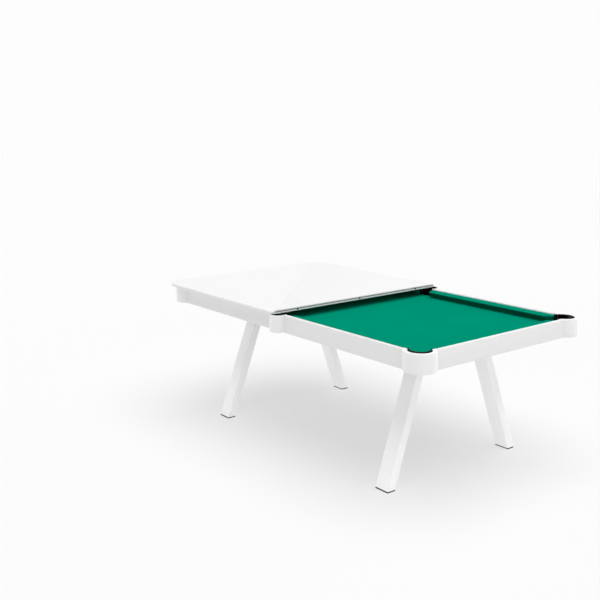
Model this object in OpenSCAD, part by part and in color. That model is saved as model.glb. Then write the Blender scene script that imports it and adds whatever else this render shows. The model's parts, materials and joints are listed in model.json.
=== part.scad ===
// Convertible dining and pool table: six pockets, splayed legs, one loose half cover.
// X runs along the table, Y across it, Z up; the floor is z = 0.

/* [Table] */
// Length over the flat faces of the end rails
table_l = 2136; // [2040:4:2300]
// Width over the flat faces of the side rails
table_w = 1214; // [1160:2:1300]
// Height of the rail tops above the floor
rail_top_z = 785; // [760:1:810]
// Height of the white rail boards
rail_h = 96; // [95:1:110]
// Thickness of the white rail boards
rail_t = 24; // [22:1:26]
// Small bevel on the long edges of the boards
rail_bevel = 1.5; // [0.5:0.5:2.5]

/* [Cushions] */
// Depth of the cushion back edge below the rail tops
lip_drop = 8; // [6:1:9]
// Reach of the cushion nose from the rail board
cushion_reach = 56; // [52:1:60]
// Height of the nose above the bed
nose_h = 35; // [33:1:37]
// Fall of the cushion top from board to nose
nose_fall = 2; // [1:0.5:3]
// Width of the wooden rail behind the rubber
subrail_w = 34; // [32:1:36]

/* [Bed] */
// Thickness of the slate
slate_t = 19; // [18:1:22]
// Thickness of every cloth
cloth_t = 1; // [0.8:0.1:1.2]

/* [Pockets] */
// Radius of the round corner casing
corner_r = 83; // [82:1:86]
// Casing centre, inwards from both rail faces
corner_inset = 53; // [52:1:54]
// Outer radius of the corner pocket ring
corner_ring_r = 59; // [57:1:61]
// Pocket centre, inwards from both rail faces
corner_pocket_inset = 49; // [46:1:51]
// Wall of the half-round middle casing around its pocket ring
middle_wall = 5; // [4:1:6]
// Width of the black ring beside the mouth of a corner pocket
ring_w = 10; // [8:1:11]
// How far the ring's opening is moved towards the mouth, which leaves the ring wide at its back
ring_shift = 20; // [14:1:22]
// Wall thickness of the pocket cup
cup_wall = 3; // [2.5:0.5:4]

/* [Frame] */
// Height of the steel tubes under the slate
beam_h = 30; // [28:1:34]
// Width of the long tubes
long_w = 60; // [56:2:70]
// Width of the cross tubes
cross_w = 50; // [40:2:60]
// Reach of the beams that carry the legs past each side of a leg
leg_beam_side = 4.5; // [3:0.5:8]
// Wall thickness of the steel tubes
tube_wall = 3; // [2:0.5:4]
// Space between rail board and long tube
frame_space = 36; // [34:1:40]

/* [Legs] */
// Leg centre, inwards from the end rail's face
leg_end_in = 365; // [345:5:400]
// Width of the leg tube along the table
leg_w = 91; // [80:1:94]
// Thickness of the leg tube
leg_t = 50; // [46:1:54]
// Wall thickness of the leg tube
leg_wall = 3; // [2:0.5:4]
// Foot centre, inwards from the side rail's face
foot_in = 137; // [110:1:160]
// Leg centre at the height of the rail bottoms, inwards from the side rail's face
leg_top_in = 392; // [370:1:405]
// Thickness of the steel plate on the leg
plate_t = 6; // [5:1:8]

/* [Feet] */
// Height of the end of the leg above the floor
foot_h = 5; // [5:0.5:7]
// Radius of the foot's stud
stud_r = 5; // [4:0.5:6]
// Furthest the foot screws out
foot_travel = 12; // [8:1:16]

/* [Cover] */
// Reach of the half cover past the end rail
end_overhang = 87; // [70:1:110]
// Reach of the half cover past the side rails
side_overhang = 47; // [44:1:54]
// Thickness of the half cover
cover_t = 16; // [15:1:22]
// Radius of the two outer corners of the cover
cover_corner_r = 120; // [60:5:160]
// Depth of the battens under the cover
batten_t = 16; // [14:1:18]

/* [Hidden] */
$fn = 96;
air = 0.3;
over = 1;

half_l = table_l / 2;
half_w = table_w / 2;
rail_z = rail_top_z - rail_h;
cushion_top = rail_top_z - lip_drop;
nose_z = cushion_top - nose_fall;
bed_z = nose_z - nose_h;
cloth_z = bed_z - cloth_t;
slate_z = cloth_z - slate_t;
beam_z = slate_z - beam_h;
nose_i = rail_t + cushion_reach;
sub_i = rail_t + subrail_w;

// Middle pocket; its casing stands just past the edge of the cover
casing_proud = 1;
middle_r = side_overhang + casing_proud;
middle_ring_r = middle_r - middle_wall;

// Cushion section
nose_round = 3;
nose_slant = 1;
nose_face = 2;
toe_h = 8;

// Cushion ends, measured from the pocket centres and square to the rail board
jaw_gap = 1.5;
corner_back = corner_pocket_inset + jaw_gap
    + sqrt(pow(corner_ring_r, 2) - pow(corner_pocket_inset - rail_t, 2));
corner_flare = 1.1;
corner_nose = corner_back + corner_flare * cushion_reach;
middle_back = jaw_gap + sqrt(pow(middle_ring_r, 2) - pow(rail_t, 2));
middle_flare = 0.48;
middle_nose = middle_back + middle_flare * cushion_reach;

// Steel frame
long_i = rail_t + frame_space;
long_y = half_w - long_i - long_w;
frame_end = half_l - corner_pocket_inset - corner_ring_r - 4;
top_hole_r = 3;
slate_clear = 1;
seam_x = table_l / 6;
seam_w = 0.3;
seam_screw = 40;

// Legs
leg_x = half_l - leg_end_in;
foot_y = half_w - foot_in;
leg_top_y = half_w - leg_top_in;
splay = atan((foot_y - leg_top_y) / rail_z);
plate_z = beam_z - plate_t;
plate_y = foot_y - plate_z * tan(splay);
leg_beam_w = leg_w + 2 * leg_beam_side;
plate_side = 19.5;
plate_end = 50;
bolt_side = 10.5;
bolt_end = 19;
plate_l = leg_w + 2 * plate_side;
plate_w = leg_t + 2 * plate_end;
leg_bolt_x = leg_w / 2 - bolt_side;
leg_bolt_y = plate_w / 2 - bolt_end;
thread_h = 22;
plug_h = foot_travel + thread_h;
nut_h = 4;
plug_z = foot_h + nut_h;
plug_top = plug_z + plug_h;
stud_y = foot_y - (foot_h + plug_top) / 2 * tan(splay);
stud_top = plug_top - 3;
run = 0.05;
insert_r = stud_r + 3;
pad_h = foot_h - air;

// Cover
cover_l = half_l + end_overhang;
cover_w = table_w + 2 * side_overhang;
cover_z = rail_top_z + 1;
edge_t = 4;
pad_r = 8;
pad_sink = 3;
bush_r = 6;
bush_wall = 1.5;
bush_l = 26;
dowel_y = 470;
batten_w = 50;
batten_side_y = half_w - nose_i - 3 - batten_w / 2;
batten_end_x = half_l - nose_i - 3;
batten_near_x = 60;
batten_gap = 0.5;
screw_sink = 2.5;
head_gap = 0.5;
batten_screw_l = 10;

// Fasteners
bolt_r = 4;
head_r = 6.5;
head_h = 5.5;
washer_t = 2;
washer_r = 9;
rail_bolt_i = rail_t + subrail_w / 2;
screw_r = 2;
side_mid = (middle_back + half_l - corner_back) / 2;
bolt_pitch = 330;
side_bolt_x = [side_mid - bolt_pitch, side_mid, side_mid + bolt_pitch];
end_bolt_y = [-bolt_pitch, 0, bolt_pitch];
slate_screw_x = [half_l - 240, seam_x + seam_screw, seam_x - seam_screw];
sink_h = 5;
tip_l = 6;
hole_play = 1;
nut_r = head_r + 1;
bracket_w = 44;
bracket_h = 22;
bracket_t = 3;
bracket_y = bolt_pitch / 2;
bracket_x = [side_mid - bracket_y, side_mid + bracket_y];
bracket_in = 12;
strap_t = 3;
strap_h = 22;
strap_z = beam_z + 4;
strap_l = 64;
strap_in = 14;
corner_strap = corner_pocket_inset + corner_ring_r + 1;
middle_strap = middle_back - jaw_gap + 0.8;
liner_screw_z = bed_z - 20;
liner_z = rail_z + 1;
liner_screw_l = 8;
middle_screw_l = 3;
drain_r = 8;
ring_slim = 3;
ring_h = 6;
bolt_top = nose_z - 10;
screw_l = 12;
screw_head = 2;
stud_z = 2;
stud_hex = 4;
near_screw_x = batten_near_x + batten_w / 2;
far_screw_x = batten_end_x - batten_w / 2;
mid_screw_x = (near_screw_x + far_screw_x) / 2;
cross_screw_y = 300;
long_screw_in = 60;
pad_x = [150, 500, 850];
pad_y = 250;

// Where the table's middle stands in the row's frame, so that the whole model is centred on X
mid_x = (cover_l - half_l - corner_r + corner_inset) / 2;

// Placement helpers ----------------------------------------------------------------------

module placed() {
    translate([mid_x, 0, 0]) children();
}

module both_x() {
    children();
    mirror([1, 0, 0]) children();
}

module both_y() {
    children();
    mirror([0, 1, 0]) children();
}

module four() {
    both_x() both_y() children();
}

// Brings a shape drawn for the +X +Y quadrant to one of the four
module quadrant(sx, sy) {
    if (sx > 0 && sy > 0) children();
    if (sx < 0 && sy > 0) mirror([1, 0, 0]) children();
    if (sx > 0 && sy < 0) mirror([0, 1, 0]) children();
    if (sx < 0 && sy < 0) mirror([1, 0, 0]) mirror([0, 1, 0]) children();
}

// Draws with x along the side rail from the middle and y inwards from the +Y rail face
module side_plan(z, h) {
    translate([0, half_w, z]) mirror([0, 1, 0]) linear_extrude(h) children();
}

// Draws with x along the end rail from the middle and y inwards from the +X rail face
module end_plan(z, h) {
    translate([half_l, 0, z]) rotate([0, 0, 90]) linear_extrude(h) children();
}

// Runs a profile of inward distance and height along the +Y side
module side_run(x0, x1) {
    translate([x0, half_w, 0]) rotate([90, 0, 90]) linear_extrude(x1 - x0)
        mirror([1, 0]) children();
}

// Runs the same profile along the +X end
module end_run(length) {
    translate([half_l, length / 2, 0]) rotate([90, 0, 0]) linear_extrude(length)
        mirror([1, 0]) children();
}

module rod(r, z0, z1) {
    translate([0, 0, z0]) cylinder(r = r, h = z1 - z0);
}

module hexagon(r, z0, z1) {
    translate([0, 0, z0]) cylinder(r = r, h = z1 - z0, $fn = 6);
}

module at_corner_pocket() {
    translate([half_l - corner_pocket_inset, half_w - corner_pocket_inset, 0]) children();
}

module at_corner_block() {
    translate([half_l - corner_inset, half_w - corner_inset, 0]) children();
}

module at_middle_pocket() {
    translate([0, half_w, 0]) children();
}

// Steel frame ----------------------------------------------------------------------------

module box_tube_x(x0, x1, y0, y1, wall) {
    difference() {
        translate([x0, y0, beam_z]) cube([x1 - x0, y1 - y0, beam_h]);
        translate([x0 - over, y0 + wall, beam_z + wall])
            cube([x1 - x0 + 2 * over, y1 - y0 - 2 * wall, beam_h - 2 * wall]);
    }
}

module box_tube_y(x0, x1, wall) {
    difference() {
        translate([x0, -long_y, beam_z]) cube([x1 - x0, 2 * long_y, beam_h]);
        translate([x0 + wall, -long_y - over, beam_z + wall])
            cube([x1 - x0 - 2 * wall, 2 * long_y + 2 * over, beam_h - 2 * wall]);
    }
}

module slate_screw_spots() {
    four() for (x = slate_screw_x) translate([x, long_y + long_w / 2, 0]) children();
}

module frame_long() {
    color("DimGray") placed() difference() {
        both_y() box_tube_x(-frame_end, frame_end, long_y, long_y + long_w, tube_wall);
        slate_screw_spots() rod(top_hole_r, slate_z - tube_wall - over, slate_z + over);
    }
}

module frame_cross() {
    color("DimGray") placed() {
        both_x() box_tube_y(frame_end - cross_w, frame_end, tube_wall);
        both_x() box_tube_y(seam_x - cross_w / 2, seam_x + cross_w / 2, tube_wall);
    }
}

module leg_bolt_spots() {
    four() translate([leg_x, plate_y, 0]) both_x() both_y()
        translate([leg_bolt_x, leg_bolt_y, 0]) children();
}

module leg_beam() {
    color("DimGray") placed() difference() {
        both_x() box_tube_y(leg_x - leg_beam_w / 2, leg_x + leg_beam_w / 2, tube_wall);
        leg_bolt_spots() rod(bolt_r, beam_z - over, beam_z + tube_wall + over);
    }
}

// Bed ------------------------------------------------------------------------------------

module rail_bolt_spots() {
    four() for (x = side_bolt_x) translate([x, half_w - rail_bolt_i, 0]) children();
    both_x() for (y = end_bolt_y) translate([half_l - rail_bolt_i, y, 0]) children();
}

module bed_plan(clear) {
    difference() {
        square([table_l - 2 * rail_t - 2 * clear, table_w - 2 * rail_t - 2 * clear], center = true);
        for (sx = [-1, 1]) for (sy = [-1, 1])
            translate([sx * (half_l - corner_pocket_inset), sy * (half_w - corner_pocket_inset)])
                circle(r = corner_ring_r + clear);
        for (sy = [-1, 1]) translate([0, sy * half_w]) circle(r = middle_ring_r + clear);
    }
}

module screw_cone() {
    translate([0, 0, cloth_z - sink_h])
        cylinder(r1 = top_hole_r, r2 = top_hole_r + sink_h, h = sink_h);
}

// Three slates, with their seams over the inner cross tubes
module slate_bed() {
    color("SlateGray") placed() difference() {
        translate([0, 0, slate_z]) linear_extrude(slate_t) bed_plan(slate_clear);
        both_x() translate([seam_x - seam_w / 2, -half_w, slate_z - over])
            cube([seam_w, table_w, slate_t + 2 * over]);
        rail_bolt_spots() rod(bolt_r + hole_play, slate_z - over, cloth_z + over);
        slate_screw_spots() {
            rod(top_hole_r, slate_z - over, cloth_z);
            screw_cone();
        }
    }
}

module slate_screws() {
    color("Silver") placed() slate_screw_spots() {
        rod(top_hole_r, slate_z - tube_wall - tip_l, cloth_z - sink_h);
        screw_cone();
    }
}

module bed_cloth() {
    color("SeaGreen") placed() difference() {
        translate([0, 0, cloth_z]) linear_extrude(cloth_t) bed_plan(slate_clear);
        rail_bolt_spots() rod(bolt_r + hole_play, cloth_z - over, bed_z + over);
    }
}

// Cushions -------------------------------------------------------------------------------

// Plan of one side cushion: x from the table's middle, y inwards; trim pulls the ends in
module side_cushion_plan(trim) {
    far_back = half_l - corner_back - trim;
    polygon([
        [middle_back + trim, rail_t - 2 * over], [middle_back + trim, rail_t],
        [middle_nose + trim, nose_i + over], [half_l - corner_nose - trim, nose_i + over],
        [far_back, rail_t], [far_back, rail_t - 2 * over]
    ]);
}

module end_cushion_plan(trim) {
    back = half_w - corner_back - trim;
    nose = half_w - corner_nose - trim;
    polygon([
        [-back, rail_t - 2 * over], [-back, rail_t], [-nose, nose_i + over],
        [nose, nose_i + over], [back, rail_t], [back, rail_t - 2 * over]
    ]);
}

// Section of the whole cushion: wooden rail, rubber and cloth together
module cushion_section() {
    polygon([
        [rail_t, bed_z], [rail_t, cushion_top], [nose_i - nose_round, nose_z],
        [nose_i - nose_slant, nose_z - nose_slant], [nose_i, nose_z - nose_round],
        [nose_i, nose_z - nose_round - nose_face],
        [nose_i - nose_slant, nose_z - 2 * nose_round - nose_slant],
        [sub_i + nose_slant, bed_z + toe_h], [sub_i, bed_z + toe_h - nose_slant], [sub_i, bed_z]
    ]);
}

// The same section without its cloth; out pushes it on at the back and below, for cutting
module core_section(out) {
    core_top = nose_z - cloth_t;
    core_i = nose_i - cloth_t;
    polygon([
        [rail_t - out, bed_z - out], [rail_t - out, cushion_top - cloth_t],
        [rail_t, cushion_top - cloth_t], [nose_i - nose_round, core_top],
        [core_i - nose_slant / 2, core_top - nose_slant], [core_i, core_top - nose_round],
        [core_i, nose_z - nose_round - nose_face],
        [core_i - nose_slant, nose_z - 2 * nose_round],
        [sub_i, bed_z + toe_h + cloth_t], [sub_i - cloth_t, bed_z + toe_h],
        [sub_i - cloth_t, bed_z - out]
    ]);
}

module wood_band() {
    translate([0, bed_z - over]) square([sub_i - cloth_t, nose_h + lip_drop]);
}

module side_cushion(trim) {
    intersection() {
        side_run(0, half_l) children();
        side_plan(bed_z - over, nose_h + lip_drop) side_cushion_plan(trim);
    }
}

module end_cushion(trim) {
    intersection() {
        end_run(table_w) children();
        end_plan(bed_z - over, nose_h + lip_drop) end_cushion_plan(trim);
    }
}

module wood_section() {
    intersection() {
        core_section(0);
        wood_band();
    }
}

module rubber_section() {
    difference() {
        core_section(0);
        wood_band();
    }
}

module rail_bolt_bores() {
    rail_bolt_spots() rod(bolt_r, bed_z - over, bolt_top);
}

module subrail_side() {
    color("BurlyWood") placed() difference() {
        four() side_cushion(cloth_t) wood_section();
        rail_bolt_bores();
    }
}

module subrail_end() {
    color("BurlyWood") placed() difference() {
        both_x() end_cushion(cloth_t) wood_section();
        rail_bolt_bores();
    }
}

module rubber_side() {
    color("DimGray") placed() four() side_cushion(cloth_t) rubber_section();
}

module rubber_end() {
    color("DimGray") placed() both_x() end_cushion(cloth_t) rubber_section();
}

module cushion_cloth_side() {
    color("SeaGreen") placed() four() difference() {
        side_cushion(0) cushion_section();
        side_cushion(cloth_t) core_section(1);
    }
}

module cushion_cloth_end() {
    color("SeaGreen") placed() both_x() difference() {
        end_cushion(0) cushion_section();
        end_cushion(cloth_t) core_section(1);
    }
}

module rail_bolts() {
    color("Silver") placed() rail_bolt_spots() {
        rod(bolt_r, slate_z - washer_t, bolt_top);
        hexagon(head_r, slate_z - washer_t - head_h, slate_z - washer_t);
    }
}

module rail_washers() {
    color("Silver") placed() rail_bolt_spots() difference() {
        rod(washer_r, slate_z - washer_t, slate_z);
        rod(bolt_r, slate_z - washer_t - over, slate_z + over);
    }
}

// White rails and casings ----------------------------------------------------------------

module board_section() {
    b = rail_bevel;
    polygon([
        [b, rail_z], [rail_t, rail_z], [rail_t, rail_top_z - b], [rail_t - b, rail_top_z],
        [b, rail_top_z], [0, rail_top_z - b], [0, rail_z + b]
    ]);
}

// Round casing with beveled edges, on its own axis
module casing(r) {
    b = rail_bevel;
    rotate_extrude() polygon([
        [0, rail_z], [r - b, rail_z], [r, rail_z + b], [r, rail_top_z - b],
        [r - b, rail_top_z], [0, rail_top_z]
    ]);
}

// Screws that hold straps and brackets to the boards, each with +Z into the board
module side_screw_spots() {
    z = strap_z + strap_h / 2;
    end_x = half_l - corner_strap - strap_l;
    spots = [
        end_x + strap_in, end_x + strap_l - strap_in, middle_strap + strap_l - strap_in,
        bracket_x[0] - bracket_in, bracket_x[0] + bracket_in,
        bracket_x[1] - bracket_in, bracket_x[1] + bracket_in
    ];
    four() for (x = spots) translate([x, half_w - rail_t, z]) rotate([-90, 0, 0]) children();
}

module end_screw_spots() {
    z = strap_z + strap_h / 2;
    end_y = half_w - corner_strap - strap_l;
    spots = [
        end_y + strap_in, end_y + strap_l - strap_in, bracket_y - bracket_in, bracket_y + bracket_in
    ];
    four() for (y = spots) translate([half_l - rail_t, y, z]) rotate([0, 90, 0]) children();
}

module board_screw_bores() {
    side_screw_spots() rod(screw_r, -strap_t - over, screw_l);
    end_screw_spots() rod(screw_r, -strap_t - over, screw_l);
}

module rail_side() {
    color("White") placed() difference() {
        four() difference() {
            side_run(0, half_l - corner_inset) board_section();
            at_corner_block() rod(corner_r, rail_z - over, rail_top_z + over);
            at_middle_pocket() rod(middle_r, rail_z - over, rail_top_z + over);
        }
        board_screw_bores();
    }
}

module rail_end() {
    color("White") placed() difference() {
        both_x() difference() {
            end_run(table_w - 2 * corner_inset) board_section();
            both_y() at_corner_block() rod(corner_r, rail_z - over, rail_top_z + over);
        }
        board_screw_bores();
    }
}

module corner_block() {
    color("WhiteSmoke") placed() difference() {
        four() difference() {
            at_corner_block() casing(corner_r);
            translate([0, 0, rail_z - over]) cube([half_l - rail_t, half_w - rail_t, rail_h + 2 * over]);
            at_corner_pocket() rod(corner_ring_r, rail_z - over, rail_top_z + over);
        }
        board_screw_bores();
        corner_liner_spots() rod(screw_r, 0, corner_ring_r + liner_screw_l);
    }
}

module middle_block() {
    color("WhiteSmoke") placed() difference() {
        both_y() difference() {
            at_middle_pocket() casing(middle_r);
            translate([-middle_r - over, 0, rail_z - over])
                cube([2 * middle_r + 2 * over, half_w - rail_t, rail_h + 2 * over]);
            at_middle_pocket() rod(middle_ring_r, rail_z - over, rail_top_z + over);
        }
        middle_liner_spots() rod(screw_r, 0, middle_ring_r + middle_screw_l);
    }
}

module joint_straps() {
    color("Silver") placed() difference() {
        four() {
            translate([half_l - corner_strap - strap_l, half_w - rail_t - strap_t, strap_z])
                cube([strap_l, strap_t, strap_h]);
            translate([half_l - rail_t - strap_t, half_w - corner_strap - strap_l, strap_z])
                cube([strap_t, strap_l, strap_h]);
            translate([middle_strap, half_w - rail_t - strap_t, strap_z])
                cube([strap_l, strap_t, strap_h]);
        }
        board_screw_bores();
    }
}

module strap_screws() {
    color("Silver") placed() {
        side_screw_spots() {
            rod(screw_r, -strap_t, screw_l);
            rod(2 * screw_r, -strap_t - screw_head, -strap_t);
        }
        end_screw_spots() {
            rod(screw_r, -strap_t, screw_l);
            rod(2 * screw_r, -strap_t - screw_head, -strap_t);
        }
    }
}

// Folded steel channel that ties a rail board to the frame; x is its width, y its length
module channel(length) {
    translate([-bracket_w / 2, 0, strap_z]) difference() {
        cube([bracket_w, length, bracket_h]);
        translate([-over, bracket_t, bracket_t])
            cube([bracket_w + 2 * over, length - 2 * bracket_t, bracket_h]);
    }
}

module frame_brackets() {
    end_reach = half_l - rail_t - frame_end;
    color("DimGray") placed() difference() {
        four() {
            for (x = bracket_x) translate([x, long_y + long_w, 0]) channel(frame_space);
            translate([frame_end, bracket_y, 0]) rotate([0, 0, -90]) channel(end_reach);
        }
        board_screw_bores();
    }
}

// Pocket liners --------------------------------------------------------------------------

// Cup with a black ring on top, open above the bed inside the wedge of mouth
module liner(outer, ring, shift, mouth) {
    difference() {
        rod(outer, liner_z, rail_top_z);
        rod(outer - cup_wall, liner_z + cup_wall, rail_top_z - ring_h);
        translate([0, -shift, 0]) rod(outer - ring, rail_top_z - ring_h - over, rail_top_z + over);
        rod(drain_r, liner_z - over, liner_z + cup_wall + over);
        translate([0, 0, cloth_z - over]) linear_extrude(rail_h)
            polygon([
                [0, 0], [-2 * outer * sin(mouth), -2 * outer * cos(mouth)], [0, -4 * outer],
                [2 * outer * sin(mouth), -2 * outer * cos(mouth)]
            ]);
    }
}

module corner_liner_spots() {
    four() at_corner_pocket() translate([0, 0, liner_screw_z]) {
        rotate([0, 90, 0]) children();
        rotate([-90, 0, 0]) children();
    }
}

module middle_liner_spots() {
    both_y() at_middle_pocket() translate([0, 0, liner_screw_z]) rotate([-90, 0, 0]) children();
}

module corner_liner(sx, sy) {
    mouth = 45 + asin((corner_pocket_inset - rail_t) / corner_ring_r);
    color("DarkSlateGray") placed() difference() {
        quadrant(sx, sy) at_corner_pocket() rotate([0, 0, -45])
            liner(corner_ring_r, ring_w, ring_shift, mouth);
        corner_liner_spots() rod(screw_r, 0, corner_ring_r + over);
    }
}

module middle_liner(sy) {
    mouth = acos(rail_t / middle_ring_r);
    color("DarkSlateGray") placed() difference() {
        quadrant(1, sy) at_middle_pocket() liner(middle_ring_r, ring_w - ring_slim, 0, mouth);
        middle_liner_spots() rod(screw_r, 0, middle_ring_r + over);
    }
}

module liner_pp() {
    corner_liner(1, 1);
}

module liner_pn() {
    corner_liner(1, -1);
}

module liner_np() {
    corner_liner(-1, 1);
}

module liner_nn() {
    corner_liner(-1, -1);
}

module liner_mp() {
    middle_liner(1);
}

module liner_mn() {
    middle_liner(-1);
}

// Screw from inside a round cup, with its flat head on the curved wall
module liner_screw(cup_r, length) {
    seat = sqrt(pow(cup_r - cup_wall, 2) - pow(2 * screw_r, 2));
    rod(screw_r, seat, cup_r + length);
    rod(2 * screw_r, seat - screw_head, seat);
}

module liner_screws() {
    color("Silver") placed() {
        corner_liner_spots() liner_screw(corner_ring_r, liner_screw_l);
        middle_liner_spots() liner_screw(middle_ring_r, middle_screw_l);
    }
}

// Legs -----------------------------------------------------------------------------------

// Level slice of a prism that leans with the leg
module leg_prism(z0, z1, w, t) {
    intersection() {
        translate([leg_x, foot_y, 0]) rotate([splay, 0, 0])
            translate([-w / 2, -t / 2, -t]) cube([w, t, rail_top_z]);
        translate([leg_x - w, 0, z0]) cube([2 * w, half_w, z1 - z0]);
    }
}

module leg_plate() {
    color("White") placed() difference() {
        four() translate([leg_x - plate_l / 2, plate_y - plate_w / 2, plate_z])
            cube([plate_l, plate_w, plate_t]);
        leg_bolt_spots() rod(bolt_r, plate_z - over, beam_z + over);
    }
}

module leg_bolts() {
    color("Silver") placed() leg_bolt_spots() {
        rod(bolt_r, plate_z, beam_z + tube_wall + head_h + tip_l / 2);
        hexagon(head_r, plate_z - head_h, plate_z);
    }
}

module leg_nuts() {
    color("Silver") placed() leg_bolt_spots() difference() {
        hexagon(nut_r, beam_z + tube_wall, beam_z + tube_wall + head_h);
        rod(bolt_r, beam_z, beam_z + beam_h);
    }
}

module leg_tube() {
    color("White") placed() four() difference() {
        leg_prism(foot_h, plate_z, leg_w, leg_t);
        leg_prism(foot_h - over, plate_z + over, leg_w - 2 * leg_wall, leg_t - 2 * leg_wall);
    }
}

module leg_plug() {
    color("DarkSlateGray") placed() four() difference() {
        leg_prism(plug_z, plug_top, leg_w - 2 * leg_wall, leg_t - 2 * leg_wall);
        translate([leg_x, stud_y, 0]) rod(insert_r, plug_z - over, plug_top + over);
    }
}

module leg_insert() {
    color("Gold") placed() four() translate([leg_x, stud_y, 0]) difference() {
        rod(insert_r, plug_z, plug_top);
        rod(stud_r + run, plug_z - over, plug_top + over);
    }
}

module foot_stud(sx, sy) {
    color("Silver") placed() quadrant(sx, sy) translate([leg_x, stud_y, 0]) {
        rod(stud_r, stud_z, stud_top);
        hexagon(stud_r + stud_hex, pad_h, plug_z - air);
    }
}

module foot_pad(sx, sy) {
    color("DarkSlateGray") placed() quadrant(sx, sy) difference() {
        leg_prism(0, pad_h, leg_w, leg_t);
        translate([leg_x, stud_y, 0]) rod(stud_r, stud_z, pad_h + over);
    }
}

module foot_stud_pp() {
    foot_stud(1, 1);
}

module foot_stud_pn() {
    foot_stud(1, -1);
}

module foot_stud_np() {
    foot_stud(-1, 1);
}

module foot_stud_nn() {
    foot_stud(-1, -1);
}

module foot_pad_pp() {
    foot_pad(1, 1);
}

module foot_pad_pn() {
    foot_pad(1, -1);
}

module foot_pad_np() {
    foot_pad(-1, 1);
}

module foot_pad_nn() {
    foot_pad(-1, -1);
}

// Half cover -----------------------------------------------------------------------------

module cover_plan() {
    r = cover_corner_r;
    translate([r - cover_l, -cover_w / 2]) square([cover_l - r - edge_t, cover_w]);
    translate([-cover_l, r - cover_w / 2]) square([r + over, cover_w - 2 * r]);
    for (sy = [-1, 1]) translate([r - cover_l, sy * (cover_w / 2 - r)]) circle(r = r);
}

module bush_spots() {
    for (y = [-dowel_y, 0, dowel_y])
        translate([0, y, cover_z + cover_t / 2]) rotate([0, -90, 0]) children();
}

module batten_screw_spots() {
    for (x = [near_screw_x, mid_screw_x, far_screw_x])
        both_y() translate([-x, batten_side_y, 0]) children();
    for (x = [near_screw_x, far_screw_x]) for (y = [-cross_screw_y, 0, cross_screw_y])
        translate([-x, y, 0]) children();
    for (x = [near_screw_x + long_screw_in, far_screw_x - long_screw_in])
        translate([-x, 0, 0]) children();
}

module pad_spots() {
    both_y() for (x = pad_x) translate([-x, half_w - rail_t / 2, 0]) children();
    both_y() translate([rail_t / 2 - half_l, pad_y, 0]) children();
}

module cover_panel() {
    color("White") placed() difference() {
        translate([0, 0, cover_z]) linear_extrude(cover_t) cover_plan();
        bush_spots() rod(bush_r, -over, bush_l);
        batten_screw_spots() rod(screw_r, cover_z - over, cover_z + batten_screw_l);
        pad_spots() rod(pad_r, cover_z - over, cover_z + pad_sink);
    }
}

module cover_edge() {
    color("Gray") placed() difference() {
        translate([-edge_t, -cover_w / 2, cover_z]) cube([edge_t, cover_w, cover_t]);
        bush_spots() rod(bush_r, -over, bush_l);
    }
}

module cover_bushes() {
    color("DarkSlateGray") placed() bush_spots() difference() {
        rod(bush_r, 0, bush_l);
        rod(bush_r - bush_wall, -over, bush_l + over);
    }
}

module batten(x0, x1, y0, y1) {
    translate([x0, y0, cover_z - batten_t]) cube([x1 - x0, y1 - y0, batten_t]);
}

// Five battens laid as a frame, each a little short of its neighbours
module cover_battens() {
    z = cover_z - batten_t;
    far_x = -batten_end_x;
    side_in = batten_side_y - batten_w / 2;
    cross_y = side_in - batten_gap;
    color("BurlyWood") placed() difference() {
        union() {
            both_y() batten(far_x, -batten_near_x, side_in, side_in + batten_w);
            batten(far_x, far_x + batten_w, -cross_y, cross_y);
            batten(-batten_near_x - batten_w, -batten_near_x, -cross_y, cross_y);
            batten(far_x + batten_w + batten_gap, -batten_near_x - batten_w - batten_gap,
                -batten_w / 2, batten_w / 2);
        }
        batten_screw_spots() {
            rod(screw_r, z - over, cover_z + over);
            rod(2 * screw_r, z - over, z + screw_sink);
        }
    }
}

module batten_screws() {
    z = cover_z - batten_t;
    color("Silver") placed() batten_screw_spots() {
        rod(screw_r, z + screw_sink, cover_z + batten_screw_l);
        rod(2 * screw_r, z + head_gap, z + screw_sink);
    }
}

module cover_pads() {
    color("DarkSlateGray") placed() pad_spots() rod(pad_r, rail_top_z + air, cover_z + pad_sink);
}

frame_long();
frame_cross();
leg_beam();
slate_bed();
slate_screws();
bed_cloth();
subrail_side();
subrail_end();
rubber_side();
rubber_end();
cushion_cloth_side();
cushion_cloth_end();
rail_bolts();
rail_washers();
rail_side();
rail_end();
corner_block();
middle_block();
joint_straps();
strap_screws();
frame_brackets();
liner_pp();
liner_pn();
liner_np();
liner_nn();
liner_mp();
liner_mn();
liner_screws();
leg_plate();
leg_bolts();
leg_nuts();
leg_tube();
leg_plug();
leg_insert();
foot_stud_pp();
foot_stud_pn();
foot_stud_np();
foot_stud_nn();
foot_pad_pp();
foot_pad_pn();
foot_pad_np();
foot_pad_nn();
cover_panel();
cover_edge();
cover_bushes();
cover_battens();
batten_screws();
cover_pads();
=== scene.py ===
"""Looks of a convertible dining and pool table with one loose half cover.

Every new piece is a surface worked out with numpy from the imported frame's own sizes. Lengths are
metres in the frame's axes: X along the table, Y across it, Z up. "Inward" is the distance from a
rail's outer face towards the middle of the table, and "run" the distance along a rail from there.
What repeats round the table is drawn once, in the quarter at +X and +Y with x from the table's
middle, and then turned to its places.
"""

import json
import logging
import math
from dataclasses import dataclass, field
from enum import Enum
from typing import Any, Sequence

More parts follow.
